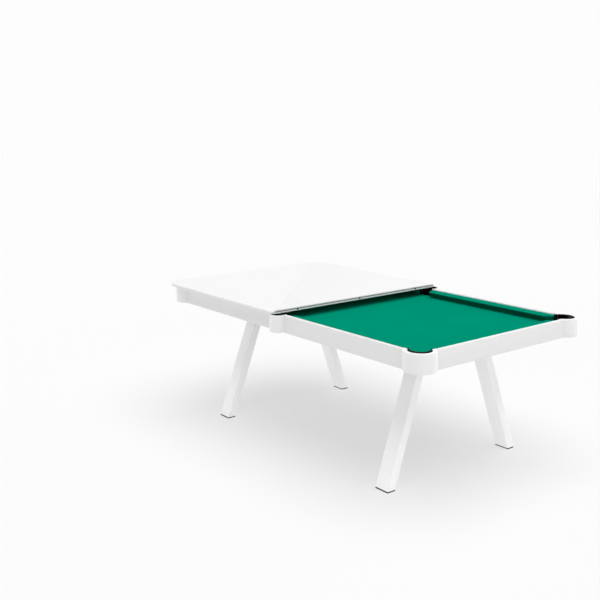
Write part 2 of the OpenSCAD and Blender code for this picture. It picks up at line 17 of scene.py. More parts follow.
import bmesh
import bpy
import numpy as np
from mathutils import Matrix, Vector


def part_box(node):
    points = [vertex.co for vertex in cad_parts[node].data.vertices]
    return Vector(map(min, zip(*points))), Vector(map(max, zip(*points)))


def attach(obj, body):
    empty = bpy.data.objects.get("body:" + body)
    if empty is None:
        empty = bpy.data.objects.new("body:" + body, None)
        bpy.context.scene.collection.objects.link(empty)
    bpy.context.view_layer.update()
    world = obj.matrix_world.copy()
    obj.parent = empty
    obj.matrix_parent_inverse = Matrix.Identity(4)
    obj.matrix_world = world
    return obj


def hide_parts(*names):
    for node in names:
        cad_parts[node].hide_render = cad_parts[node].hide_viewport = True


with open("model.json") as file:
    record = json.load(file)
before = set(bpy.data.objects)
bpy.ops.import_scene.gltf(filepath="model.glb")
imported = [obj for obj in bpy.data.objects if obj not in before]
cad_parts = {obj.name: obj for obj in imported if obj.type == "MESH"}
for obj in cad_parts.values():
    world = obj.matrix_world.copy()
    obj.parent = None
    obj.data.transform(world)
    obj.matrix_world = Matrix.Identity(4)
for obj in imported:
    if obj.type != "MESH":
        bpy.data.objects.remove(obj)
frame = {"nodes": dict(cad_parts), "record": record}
LOG = logging.getLogger("pool_table")

Array = np.ndarray
Pair = tuple[float, float]
Triple = tuple[float, float, float]
Signs = tuple[int, int]
Socket = bpy.types.NodeSocket
Settings = dict[str, Any]
Inputs = dict[str | int, Any]

EVEN = (1.0, 1.0, 1.0)
NOISE_MEAN = 0.5
CLOTH_MAP = "cloth"
TINY = 1e-9
QUARTER_TURN = np.pi / 2
FULL_TURN = 2 * np.pi
# Signs along X and Y of the places in which a piece repeats, by the letters of the nodes' names.
QUARTERS = {"pp": (1, 1), "pn": (1, -1), "np": (-1, 1), "nn": (-1, -1)}
ENDS = {"p": (1, 1), "n": (-1, 1)}
SIDES = {"p": (1, 1), "n": (1, -1)}


# Shader building ------------------------------------------------------------------------------


class Value:
    """A number in a node tree, on which Python arithmetic adds Math nodes."""

    def __init__(self, nodes: "Nodes", socket: Socket) -> None:
        """Wraps an output socket of the nodes to calculate with."""
        self.nodes = nodes
        self.socket = socket

    def _math(self, operation: str, first: Any, second: Any) -> "Value":
        """The result of one Math node on two operands, each a Value or a number."""
        inputs = {0: first, 1: second}
        return self.nodes.value(0, "ShaderNodeMath", {"operation": operation}, inputs)

    def largest(self, other: Any) -> "Value":
        """The larger of the two."""
        return self._math("MAXIMUM", self, other)

    def __add__(self, other: Any) -> "Value":
        """Sum."""
        return self._math("ADD", self, other)

    def __sub__(self, other: Any) -> "Value":
        """Difference."""
        return self._math("SUBTRACT", self, other)

    def __rsub__(self, other: Any) -> "Value":
        """Difference, with this value taken away."""
        return self._math("SUBTRACT", other, self)

    def __mul__(self, other: Any) -> "Value":
        """Product."""
        return self._math("MULTIPLY", self, other)

    __radd__ = __add__
    __rmul__ = __mul__


class Nodes:
    """A node tree of a material or the world, whose nodes all come from one method."""

    def __init__(self, owner: bpy.types.Material | bpy.types.World) -> None:
        """Empties the owner's tree.

        Args:
            owner: The material or world.
        """
        owner.use_nodes = True
        self.tree = owner.node_tree
        self.tree.nodes.clear()

    def add(
        self, kind: str, settings: Settings | None = None, inputs: Inputs | None = None
    ) -> bpy.types.ShaderNode:
        """Adds a node, sets it up and then feeds it.

        Args:
            kind: Blender's type name of the node.
            settings: Properties of the node; "stops" holds a ramp's places and colours.
            inputs: Numbers, colours, sockets or Values by socket name or number.

        Returns:
            The new node.
        """
        node = self.tree.nodes.new(kind)
        for name, setting in (settings or {}).items():
            if name == "stops":
                for element, (place, colour) in zip(node.color_ramp.elements, setting):
                    element.position = place
                    element.color = (*colour, 1.0)
            else:
                setattr(node, name, setting)
        self.feed(node, inputs or {})
        return node

    def feed(self, node: bpy.types.ShaderNode, inputs: Inputs) -> None:
        """Sets or links a node's inputs.

        Args:
            node: The node to feed.
            inputs: Numbers, colours, sockets or Values by socket name or number.
        """
        for key, given in inputs.items():
            if isinstance(given, Value):
                given = given.socket
            socket = node.inputs[key]
            if isinstance(given, Socket):
                self.tree.links.new(given, socket)
            elif socket.type == "RGBA":
                socket.default_value = (*given, 1.0)
            else:
                socket.default_value = given

    def value(self, output: str | int, kind: str, settings: Settings, inputs: Inputs) -> Value:
        """Adds a node and wraps one of its outputs, by name or number."""
        return Value(self, self.add(kind, settings, inputs).outputs[output])

    def height(self, where: Socket) -> Value:
        """The Z part of coordinates."""
        return self.value("Z", "ShaderNodeSeparateXYZ", {}, {0: where})

    def ramp(self, by: Value, low: float, high: float) -> Value:
        """Stretches a value so that low becomes 0 and high becomes 1, without going past."""
        inputs = {"Value": by, "From Min": low, "From Max": high}
        return self.value("Result", "ShaderNodeMapRange", {}, inputs)

    def mix_into(self, kind: str, share: Value | float, *shaders: tuple[str, Inputs]) -> None:
        """Mixes two shaders and leads them to the tree's output.

        Args:
            kind: Blender's type name of the output node.
            share: Share of the second shader, from 0 to 1.
            *shaders: Blender's type name and the inputs of each of the two.
        """
        first, second = (self.add(name, {}, inputs).outputs[0] for name, inputs in shaders)
        mix = self.add("ShaderNodeMixShader", {}, {0: share, 1: first, 2: second})
        self.add(kind, {}, {"Surface": mix.outputs[0]})


@dataclass(frozen=True)
class Grain:
    """A layer of noise: the width of one blotch in metres and how many finer layers it has.

    Rough is the strength of the finer layers, a stretch of less than 1 draws the pattern out
    along an axis, and span is the part of the range that is stretched to 0 to 1.
    """

    size: float
    detail: float = 3.0
    rough: float = 0.5
    stretch: Triple = EVEN
    span: Pair | None = None


class Shader(Nodes):
    """A material round one Principled shader, with the patterns that the finishes share."""

    def __init__(self, name: str) -> None:
        """Makes the material.

        Args:
            name: The material's name.
        """
        self.material = bpy.data.materials.new(name)
        super().__init__(self.material)
        self.surface = self.add("ShaderNodeBsdfPrincipled")
        self.where = self.add("ShaderNodeTexCoord").outputs["Object"]
        self.add("ShaderNodeOutputMaterial", {}, {"Surface": self.surface.outputs[0]})

    def finish(self, **inputs: Any) -> bpy.types.Material:
        """Feeds the Principled shader, with _ for each space in its sockets' names."""
        self.feed(self.surface, {key.replace("_", " "): given for key, given in inputs.items()})
        return self.material

    def place(self, stretch: Triple) -> Socket:
        """Object coordinates in metres.

        Args:
            stretch: Factor on each axis.

        Returns:
            The vector socket.
        """
        if stretch == EVEN:
            return self.where
        return self.add("ShaderNodeMapping", {}, {0: self.where, "Scale": stretch}).outputs[0]

    def noise(self, grain: Grain) -> Value:
        """Soft noise from 0 to 1.

        Args:
            grain: Its size, layers, stretch and span.

        Returns:
            The noise value.
        """
        inputs = {"Vector": self.place(grain.stretch), "Scale": 1.0 / grain.size}
        inputs |= {"Detail": grain.detail, "Roughness": grain.rough}
        noise = self.value("Fac", "ShaderNodeTexNoise", {}, inputs)
        return self.ramp(noise, *grain.span) if grain.span else noise

    def waves(self, where: Socket, axis: str, scale: float, bend: float, detail: float) -> Value:
        """Soft bands across an axis from 0 to 1, bent by noise of so many layers."""
        inputs = {"Vector": where, "Scale": scale, "Distortion": bend, "Detail": detail}
        return self.value("Fac", "ShaderNodeTexWave", {"bands_direction": axis}, inputs)

    def band(self, low: float, high: float, soft: float) -> Value:
        """1 between two heights and 0 elsewhere, with soft ends outside them."""
        z = self.height(self.where)
        return self.ramp(z, low - soft, low) - self.ramp(z, high, high + soft)

    def blend(self, by: Value, low: Triple, high: Triple) -> Socket:
        """Mixes two colours by a value from 0 to 1, the share of the second."""
        stops = ((0.0, low), (1.0, high))
        return self.add("ShaderNodeValToRGB", {"stops": stops}, {"Fac": by}).outputs["Color"]

    def bump(self, height: Value, depth: float, strength: float = 1.0) -> Socket:
        """Turns a height from 0 to 1 into a bent normal, with 1 standing for depth metres."""
        inputs = {"Height": height, "Distance": depth, "Strength": strength}
        return self.add("ShaderNodeBump", {}, inputs).outputs["Normal"]


def shade(colour: Triple, factor: float) -> Triple:
    """A linear colour with each channel multiplied by a factor, to 1 at most."""
    return tuple(min(1.0, channel * factor) for channel in colour)


def weigh(shares: Sequence[float], *layers: Value) -> Value:
    """Sum of layers, each times its share."""
    first, *others = (share * layer for share, layer in zip(shares, layers))
    return sum(others, first)


# Finishes -------------------------------------------------------------------------------------
#
# A finish weighs its layers of pattern three times: tones says how much of each goes into the
# colour, dulls what each adds to the roughness, and heights how much of each goes into the bump.


@dataclass(frozen=True)
class Paint:
    """Sprayed lacquer or powder coat: faint clouding, orange peel and uneven gloss.

    Dulls are those of the clouds and the fine peel, heights those of the peel and the fine peel.
    """

    name: str
    colour: Triple
    roughness: float
    peel: float
    peel_depth: float
    clouding: float = 0.004
    coat: float = 0.0
    sheen: float = 0.0
    clouds: Grain = Grain(0.22, 4.0, span=(0.3, 0.7))
    finer: float = 0.2
    dulls: Pair = (0.08, 0.05)
    heights: Pair = (0.8, 0.2)
    coat_roughness: float = 0.08
    sheen_roughness: float = 0.5

    def material(self) -> bpy.types.Material:
        """Builds the shader's nodes.

        Returns:
            The material.
        """
        s = Shader(self.name)
        clouds = s.noise(self.clouds)
        peel = s.noise(Grain(self.peel, 2.0, 0.4))
        fine = s.noise(Grain(self.peel * self.finer, 2.0))
        dark, light = (shade(self.colour, 1 + sign * self.clouding) for sign in (-1, 1))
        return s.finish(
            Base_Color=s.blend(clouds, dark, light),
            Roughness=self.roughness + weigh(self.dulls, clouds - NOISE_MEAN, fine - NOISE_MEAN),
            Normal=s.bump(weigh(self.heights, peel, fine), self.peel_depth),
            Coat_Weight=self.coat,
            Coat_Roughness=self.coat_roughness,
            Sheen_Weight=self.sheen,
            Sheen_Roughness=self.sheen_roughness,
        )


@dataclass(frozen=True)
class Moulding:
    """Moulded plastic or rubber: leathery cells, and scuffs that are paler and duller.

    A cell's height grows from its middle until cell_edge, and its dulls come after the scuffs'.
    """

    name: str
    colour: Triple
    roughness: float
    cell: float
    cell_depth: float
    dulls: Pair = (0.1, 0.04)
    gloss: float = 0.5
    cell_edge: float = 0.7
    scuffs: Grain = Grain(0.018, 5.0, 0.7, span=(0.55, 0.8))
    scuff_shade: float = 1.6

    def material(self) -> bpy.types.Material:
        """Builds the shader's nodes.

        Returns:
            The material.
        """
        s = Shader(self.name)
        inputs = {"Vector": s.where, "Scale": 1.0 / self.cell}
        cells = s.value("Distance", "ShaderNodeTexVoronoi", {}, inputs)
        cells, scuffs = s.ramp(cells, 0.0, self.cell_edge), s.noise(self.scuffs)
        return s.finish(
            Base_Color=s.blend(scuffs, self.colour, shade(self.colour, self.scuff_shade)),
            Roughness=self.roughness + weigh(self.dulls, scuffs, cells),
            Normal=s.bump(cells, self.cell_depth),
            Specular_IOR_Level=self.gloss,
        )


@dataclass(frozen=True)
class Metal:
    """Plated, turned or drawn metal: dull patches, and fine lines along Z. Dulls in that order."""

    name: str
    colour: Triple
    roughness: float
    patches: Grain = Grain(0.012, 4.0, span=(0.35, 0.75))
    lines: Grain = Grain(0.0004, stretch=(1.0, 1.0, 0.05))
    dulls: Pair = (0.14, 0.12)
    patch_shade: float = 0.82
    depth: float = 0.00001

    def material(self) -> bpy.types.Material:
        """Builds the shader's nodes.

        Returns:
            The material.
        """
        s = Shader(self.name)
        patches, lines = s.noise(self.patches), s.noise(self.lines)
        return s.finish(
            Base_Color=s.blend(patches, self.colour, shade(self.colour, self.patch_shade)),
            Metallic=1.0,
            Roughness=self.roughness + weigh(self.dulls, patches, lines - NOISE_MEAN),
            Normal=s.bump(lines, self.depth),
        )


@dataclass(frozen=True)
class Timber:
    """Planed timber along X: growth rings bent by slow noise, with short dark pores.

    Tones are those of rings, bend and pores; dulls and heights, those of rings and pores.
    """

    name: str
    pale: Triple
    dark: Triple
    bend: Grain = Grain(0.09, stretch=(0.06, 1.0, 1.0))
    pores: Grain = Grain(0.0011, 2.0, stretch=(0.03, 1.0, 1.0), span=(0.62, 0.74))
    ring_scale: float = 22.0
    ring_bend: float = 7.0
    ring_detail: float = 3.0
    tones: Triple = (0.45, 0.55, 0.35)
    span: Pair = (0.15, 0.95)
    roughness: float = 0.5
    dulls: Pair = (0.15, 0.1)
    heights: Pair = (0.3, 0.7)
    depth: float = 0.00012

    def material(self) -> bpy.types.Material:
        """Builds the shader's nodes.

        Returns:
            The material.
        """
        s = Shader(self.name)
        bend, pores = s.noise(self.bend), s.noise(self.pores)
        where = s.place(self.bend.stretch)
        rings = s.waves(where, "Y", self.ring_scale, self.ring_bend, self.ring_detail)
        tone = s.ramp(weigh(self.tones, rings, bend, pores), *self.span)
        return s.finish(
            Base_Color=s.blend(tone, self.pale, self.dark),
            Roughness=self.roughness + weigh(self.dulls, rings, pores),
            Normal=s.bump(1.0 - weigh(self.heights, rings, pores), self.depth),
        )


@dataclass(frozen=True)
class Stone:
    """Honed slate: slow cloudy bands, shiny mineral specks and fine saw marks along X.

    Tones and dulls are those of clouds and specks; heights, those of clouds and saw marks.
    """

    name: str
    pale: Triple
    dark: Triple
    clouds: Grain = Grain(0.16, 6.0, 0.6, stretch=(0.4, 1.0, 3.0))
    specks: Grain = Grain(0.0016, span=(0.64, 0.7))
    saw: Grain = Grain(0.004, stretch=(0.08, 1.0, 1.0))
    tones: Pair = (1.0, 0.2)
    span: Pair = (0.3, 0.75)
    roughness: float = 0.62
    dulls: Pair = (0.16, -0.15)
    heights: Pair = (0.3, 0.7)
    depth: float = 0.00015

    def material(self) -> bpy.types.Material:
        """Builds the shader's nodes.

        Returns:
            The material.
        """
        s = Shader(self.name)
        clouds, specks, saw = (s.noise(grain) for grain in (self.clouds, self.specks, self.saw))
        tone = s.ramp(weigh(self.tones, clouds, specks), *self.span)
        return s.finish(
            Base_Color=s.blend(tone, self.dark, self.pale),
            Roughness=self.roughness + weigh(self.dulls, clouds - NOISE_MEAN, specks),
            Normal=s.bump(weigh(self.heights, clouds, saw), self.depth),
        )


@dataclass(frozen=True)
class Baize:
    """Worsted billiard cloth: a fine weave on the piece's own UV map, under a short nap.

    The weave is the product of bands along both axes, one to a thread. Between two heights,
    which are those of the cushions' undercut faces, the colour is darkened: painted shade under
    the noses. Tones are those of nap, weave and wear; heights, those of nap and weave.
    """

    name: str
    colour: Triple
    # Heights of the cushions' undercut faces, between which the colour gets painted shade.
    under: Pair = (0.7425, 0.7695)
    painted_shade_soft: float = 0.002
    painted_shade_factor: float = 0.42
    pale_factor: float = 1.06
    tone_share: float = 0.2
    thread: float = 0.0009
    thread_bend: float = 0.6
    nap: Grain = Grain(0.0022, 4.0, 0.65)
    wear: Grain = Grain(0.35, span=(0.3, 0.7))
    tones: Triple = (0.45, 0.2, 0.35)
    span: Pair = (0.1, 0.8)
    roughness: float = 0.9
    weave_dulls: float = -0.08
    heights: Pair = (0.4, 0.6)
    depth: float = 0.00014
    strength: float = 0.6

    def material(self) -> bpy.types.Material:
        """Builds the shader's nodes.

        Returns:
            The material.
        """
        s = Shader(self.name)
        uv = s.add("ShaderNodeUVMap", {"uv_map": CLOTH_MAP}).outputs[0]
        scale = math.pi / self.thread / 10.0
        warp, weft = (s.waves(uv, axis, scale, self.thread_bend, 1.0) for axis in ("X", "Y"))
        nap, weave, wear = s.noise(self.nap), warp * weft, s.noise(self.wear)
        tone = s.ramp(weigh(self.tones, nap, weave, wear), *self.span)
        # Painted shade: between the undercut faces' heights the colour falls to near its darkest;
        # elsewhere it stays near its palest, moved a little by the pattern's tone.
        outside_painted_shade = (1 - self.tone_share) * (1.0 - s.band(*self.under, self.painted_shade_soft))
        dark, light = (shade(self.colour, by) for by in (self.painted_shade_factor, self.pale_factor))
        return s.finish(
            Base_Color=s.blend(self.tone_share * tone + outside_painted_shade, dark, light),
            Roughness=self.roughness + self.weave_dulls * weave,
            Normal=s.bump(weigh(self.heights, nap, weave), self.depth, self.strength),
            Specular_IOR_Level=0.0,
        )


@dataclass(frozen=True)
class EdgeBand:
    """Lipping of the board: pale below, with a dark line near the top and rubbed spots.

    Tones are those of the line, the layers and the rubs; heights, those of line and layers.
    """

    name: str
    colour: Triple
    dark_line_colour: Triple
    dark_line: Pair
    dark_line_soft: float = 0.0006
    layers: Grain = Grain(0.0012, 2.0, stretch=(1.0, 0.02, 1.0))
    rubs: Grain = Grain(0.03, 4.0, span=(0.5, 0.8))
    tones: Triple = (1.0, 0.06, -0.08)
    roughness: float = 0.5
    rub_dulls: float = 0.15
    heights: Pair = (-0.6, 1.0)
    depth: float = 0.0001

    def material(self) -> bpy.types.Material:
        """Builds the shader's nodes.

        Returns:
            The material.
        """
        s = Shader(self.name)
        # A dark line between two heights near the top, darker in colour and sunk a little in the
        # bump.
        line = s.band(*self.dark_line, self.dark_line_soft)
        layers, rubs = s.noise(self.layers), s.noise(self.rubs)
        tone = weigh(self.tones, line, layers, rubs)
        return s.finish(
            Base_Color=s.blend(tone, self.colour, self.dark_line_colour),
            Roughness=self.roughness + self.rub_dulls * rubs,
            Normal=s.bump(weigh(self.heights, line, layers), self.depth),
        )


class Slot(Enum):
    """The record's material slots, each with its finish."""

    FRAME_PAINT = Paint("frame_paint", (0.16, 0.165, 0.17), 0.45, 0.0016, 0.00005, 0.06)
    SLATE = Stone("slate", (0.3, 0.32, 0.34), (0.19, 0.205, 0.22))
    ZINC_STEEL = Metal("zinc_steel", (0.66, 0.67, 0.69), 0.3)
    CLOTH = Baize("cloth", (0.0, 0.238, 0.146))
    RAIL_WOOD = Timber("rail_wood", (0.66, 0.49, 0.31), (0.42, 0.27, 0.15))
    CUSHION_RUBBER = Moulding("cushion_rubber", (0.1, 0.1, 0.1), 0.6, 0.0012, 0.00004)
    WHITE_LACQUER = Paint("white_lacquer", (0.72, 0.72, 0.72), 0.35, 0.005, 0.000003)
    WHITE_CASTING = Paint(
        "white_casting", (0.74, 0.74, 0.74), 0.3, 0.004, 0.000005, coat=1.0, sheen=0.6
    )
    BLACK_PLASTIC = Moulding(
        "black_plastic", (0.006, 0.006, 0.0065), 0.4, 0.0009, 0.00003, (0.2, 0.04), gloss=0.004
    )
    WHITE_STEEL = Paint("white_steel", (0.94, 0.94, 0.94), 0.34, 0.0018, 0.00001)
    BRASS = Metal("brass", (0.72, 0.55, 0.28), 0.25)
    GREY_EDGE = EdgeBand("grey_edge", (0.72, 0.72, 0.72), (0.16, 0.16, 0.165), (0.7945, 0.7985))
    PAD_RUBBER = Moulding("pad_rubber", (0.05, 0.05, 0.05), 0.7, 0.0008, 0.00004)


class Finishes:
    """The built materials, one for each slot of the record."""

    def __init__(self) -> None:
        """Builds every material once."""
        self.built = {slot: slot.value.material() for slot in Slot}

    def dress(self, piece: bpy.types.Object, slot: Slot) -> None:
        """Gives a piece one finish."""
        piece.data.materials.append(self.built[slot])

    def dress_frame(self) -> None:
        """Gives every node of the frame its slot's finish, on the object and not the mesh."""
        by_name = {slot.value.name: slot for slot in Slot}
        for part in frame["record"]["subparts"]:
            piece = frame["nodes"][part["node"]]
            slot = by_name[part["material_slot"]]
            for place in piece.material_slots:
                place.link = "OBJECT"
                place.material = self.built[slot]


# Surfaces -------------------------------------------------------------------------------------


class Surface:
    """Collects grids and caps and makes one mesh object of them."""

    doubles = 1e-6
    degenerate = 1e-7

    def __init__(self, closed: bool = True, crease: float = 40.0) -> None:
        """Starts without points or faces.

        Args:
            closed: Whether it is a closed shell, whose faces are turned outwards at the end.
            crease: Edges sharper than this many degrees stay sharp.
        """
        self.closed = closed
        self.crease = crease
        self.points: list[Array] = []
        self.cloth_map: list[Array] = []
        self.faces: list[list[int]] = []
        self.count = 0

    def _take(self, points: Array, flat: Array | None = None) -> int:
        """Stores points.

        Args:
            points: Any array of points, (..., 3).
            flat: Where each point lies on the unrolled cloth, (..., 2), or None.

        Returns:
            The first point's number.
        """
        first = self.count
        rows = points.reshape(-1, 3)
        self.points.append(rows)
        self.cloth_map.append(rows[:, :2] if flat is None else flat.reshape(-1, 2))
        self.count += len(rows)
        return first

    def grid(
        self, points: Array, closed_rows: bool = False, ring: bool = True, flat: Array | None = None
    ) -> None:
        """Adds a grid of points with a four-sided face between neighbours.

        Args:
            points: Points by row and column, (rows, columns, 3).
            closed_rows: Joins the last row to the first.
            ring: Joins the last column to the first, so that each row is a ring.
            flat: Where each point lies on the unrolled cloth, (rows, columns, 2).
        """
        rows, columns = points.shape[:2]
        first = self._take(points, flat)
        r = np.arange(rows if closed_rows else rows - 1)[:, None]
        c = np.arange(columns if ring else columns - 1)[None, :]
        r2, c2 = (r + 1) % rows, (c + 1) % columns
        corners = (r * columns + c, r2 * columns + c, r2 * columns + c2, r * columns + c2)
        quads = np.stack([np.broadcast_to(k, (r.size, c.size)) for k in corners], axis=-1)
        self.faces += (quads.reshape(-1, 4) + first).tolist()

    def facets(self, points: Array, triangles: Array) -> None:
        """Adds points (n, 3) and the triangles (m, 3) between them."""
        first = self._take(points)
        self.faces += (triangles + first).tolist()

    def cap(self, loop: Array) -> None:
        """Closes a loop of points (n, 3) with one face."""
        first = self._take(loop)
        self.faces.append(list(range(first, first + len(loop))))

    def tube(self, rings: Array) -> None:
        """Adds rings of points, joined one to the next, and caps the first and the last.

        Args:
            rings: The rings in order, (rings, points, 3).
        """
        self.grid(rings)
        self.cap(rings[0])
        self.cap(rings[-1])

    def flip(self) -> None:
        """Turns every face over."""
        self.faces = [face[::-1] for face in self.faces]

    def turned(self, plan: "Plan", signs: Signs) -> "Surface":
        """Copies the surface to another place round the table.

        Args:
            plan: The table's plan.
            signs: The place. At two of four the copy is a mirror image, so an open surface
                is turned over there.

        Returns:
            The copy.
        """
        copy = Surface(self.closed, self.crease)
        copy.points = [plan.turn(points, signs) for points in self.points]
        copy.cloth_map, copy.faces, copy.count = self.cloth_map, self.faces, self.count
        if not self.closed and signs[0] * signs[1] < 0:
            copy.flip()
        return copy

    def build(self, name: str) -> bpy.types.Object:
        """Makes the object: doubles merged, a closed shell turned outwards, soft shading.

        Args:
            name: The piece's name.

        Returns:
            The linked object, at the origin.
        """
        mesh = bpy.data.meshes.new(name)
        mesh.from_pydata(np.concatenate(self.points).tolist(), [], self.faces)
        corner_points = np.zeros(len(mesh.loops), np.int32)
        mesh.loops.foreach_get("vertex_index", corner_points)
        layer = mesh.uv_layers.new(name=CLOTH_MAP)
        layer.uv.foreach_set("vector", np.concatenate(self.cloth_map)[corner_points].ravel())
        work = bmesh.new()
        work.from_mesh(mesh)
        bmesh.ops.remove_doubles(work, verts=work.verts, dist=self.doubles)
        bmesh.ops.dissolve_degenerate(work, edges=work.edges, dist=self.degenerate)
        if self.closed:
            bmesh.ops.recalc_face_normals(work, faces=work.faces)
        work.to_mesh(mesh)
        work.free()
        mesh.polygons.foreach_set("use_smooth", np.ones(len(mesh.polygons), bool))
        mesh.set_sharp_from_angle(angle=math.radians(self.crease))
        piece = bpy.data.objects.new(name, mesh)
        bpy.context.scene.collection.objects.link(piece)
        return piece


def pairs(a: Any, b: Any) -> Array:
    """Numbers or arrays a and b as one array of pairs, (..., 2)."""
    return np.stack(np.broadcast_arrays(a, b), axis=-1)


def unit(turn: Array) -> Array:
    """Unit vectors (cos a, sin a) at the angles given, (..., 2)."""
    return pairs(np.cos(turn), np.sin(turn))


def inside(loop: Array, normal: Array, insets: Array) -> Array:
    """Copies of an outline (n, 2), each moved by its inset against the normals."""
    return loop - normal * insets[:, None, None]


def rounded(corners: Sequence[Sequence[float]], radii: Any, steps: int = 6) -> Array:
    """Outline with each corner turned into an arc.

    With unit vectors a and b from a corner to its neighbours and h half the angle between them,
    the arc starts r / tan h along a, its centre lies r / sin h along the bisector, and its points
    turn evenly from the first end to the second.

    Args:
        corners: The corners of a closed outline, in order.
        radii: One radius, or one for each corner.
        steps: Points on each arc.

    Returns:
        The outline's points, (corners * steps, 2).
    """
    p = np.asarray(corners, float)
    r = np.broadcast_to(np.asarray(radii, float), len(p))[:, None]
    a, b = np.roll(p, 1, axis=0) - p, np.roll(p, -1, axis=0) - p
    a /= np.linalg.norm(a, axis=1, keepdims=True)
    b /= np.linalg.norm(b, axis=1, keepdims=True)
    half = np.arccos(np.clip((a * b).sum(1, keepdims=True), -1, 1)) / 2
    middle = (a + b) / np.linalg.norm(a + b, axis=1, keepdims=True)
    centre = p + middle * r / np.sin(half)
    first, last = p + a * r / np.tan(half) - centre, p + b * r / np.tan(half) - centre
    turn = (np.pi - 2 * half)[:, :, None]
    s = np.linspace(0, 1, steps)[None, :, None]
    arc = np.sin((1 - s) * turn) * first[:, None] + np.sin(s * turn) * last[:, None]
    return (centre[:, None] + arc / np.sin(turn)).reshape(-1, 2)


def rounded_box(low: Array, high: Array, edge: Array, steps: int) -> Array:
    """Rectangles with rounded corners, one for each entry of the arrays given.

    Each of the four arcs is centred one radius inside its corner, so a point is that centre plus
    the radius times the cosine and sine of its angle.

    Args:
        low: Their lower corners, (..., 2).
        high: Their upper corners, (..., 2).
        edge: Radii of their corners, (...).
        steps: Points on each arc.

    Returns:
        The outlines, (..., 4 * steps, 2).
    """
    quarter = np.arange(4)
    angle = ((quarter[:, None] + np.linspace(0, 1, steps)) * QUARTER_TURN).ravel()
    at_high = pairs(np.isin(quarter, (0, 3)), np.isin(quarter, (0, 1)))
    edge = edge[..., None, None]
    centre = np.where(
        np.repeat(at_high, steps, axis=0), high[..., None, :] - edge, low[..., None, :] + edge
    )
    return centre + edge * unit(angle)


def outward(loop: Array) -> Array:
    """Unit normals that point out of a closed outline.

    The tangent at a point is the chord between its two neighbours, and the normal is that chord
    turned a quarter to the right, or to the left where the outline runs clockwise.

    Args:
        loop: The outline, (n, 2).

    Returns:
        The normals, (n, 2).
    """
    after = np.roll(loop, -1, axis=0)
    chord = after - np.roll(loop, 1, axis=0)
    area = (loop[:, 0] * after[:, 1] - after[:, 0] * loop[:, 1]).sum()
    normal = pairs(chord[:, 1], -chord[:, 0]) * np.sign(area)
    return normal / np.maximum(np.linalg.norm(normal, axis=1, keepdims=True), TINY)


def lift(plan: Array, z: Any) -> Array:
    """Adds heights, one or one each, to points of a plan (..., 2), which makes them (..., 3)."""
    heights = np.broadcast_to(np.asarray(z, float), plan.shape[:-1])
    return np.concatenate([plan, heights[..., None]], axis=-1)


def revolve(radius: Array, height: Array, turn: Array, axis: Sequence[float]) -> Array:
    """Carries a section round an axis.

    At angle a, a point stands in plan at the axis plus its radius times (cos a, sin a).

    Args:
        radius: Radii of the section, the same all round, (n), or for each angle, (angles, n).
        height: Heights of the section, likewise.
        turn: The angles.
        axis: Where the axis stands in plan.

    Returns:
        The points, (angles, n, 3).
    """
    around = np.atleast_2d(radius)[..., None] * unit(turn)[:, None]
    return lift(np.asarray(axis) + around, height)


def rolled(edge: float, steps: int) -> tuple[Array, Array]:
    """Where the points of a rounded edge lie, evenly over a quarter turn t.

    Args:
        edge: The edge's radius.
        steps: Number of points.

    Returns:
        The distances edge * (1 - cos t) from the face that it leaves, and edge * (1 - sin t)
        from the face that it reaches.
    """
    turn = np.linspace(0, QUARTER_TURN, steps)
    return edge * (1 - np.cos(turn)), edge * (1 - np.sin(turn))


def slab(surface: Surface, loop: Array, z0: float, z1: float, edge: float, steps: int = 6) -> None:
    """Adds a plate whose upper and lower edges are rounded as rolled() says.

    Args:
        surface: Where the faces go.
        loop: The plate's outline, (n, 2).
        z0: Height of the lower face.
        z1: Height of the upper face.
        edge: Radius of the edges.
        steps: Rings on each edge.
    """
    inset, drop = rolled(edge, steps)
    insets = np.concatenate([inset[::-1], inset])
    heights = np.concatenate([z0 + drop[::-1], z1 - drop])
    surface.tube(lift(inside(loop, outward(loop), insets), heights[:, None]))


def node_mesh(name: str) -> tuple[Array, Array]:
    """A frame node's mesh.

    Args:
        name: The node.

    Returns:
        Its points, (n, 3), and its triangles, (m, 3).
    """
    mesh = frame["nodes"][name].data
    points = np.zeros(len(mesh.vertices) * 3, np.float32)
    mesh.vertices.foreach_get("co", points)
    corners = np.zeros(len(mesh.loops), np.int32)
    mesh.loops.foreach_get("vertex_index", corners)
    return points.reshape(-1, 3), corners.reshape(-1, 3)


# The table's sizes ----------------------------------------------------------------------------


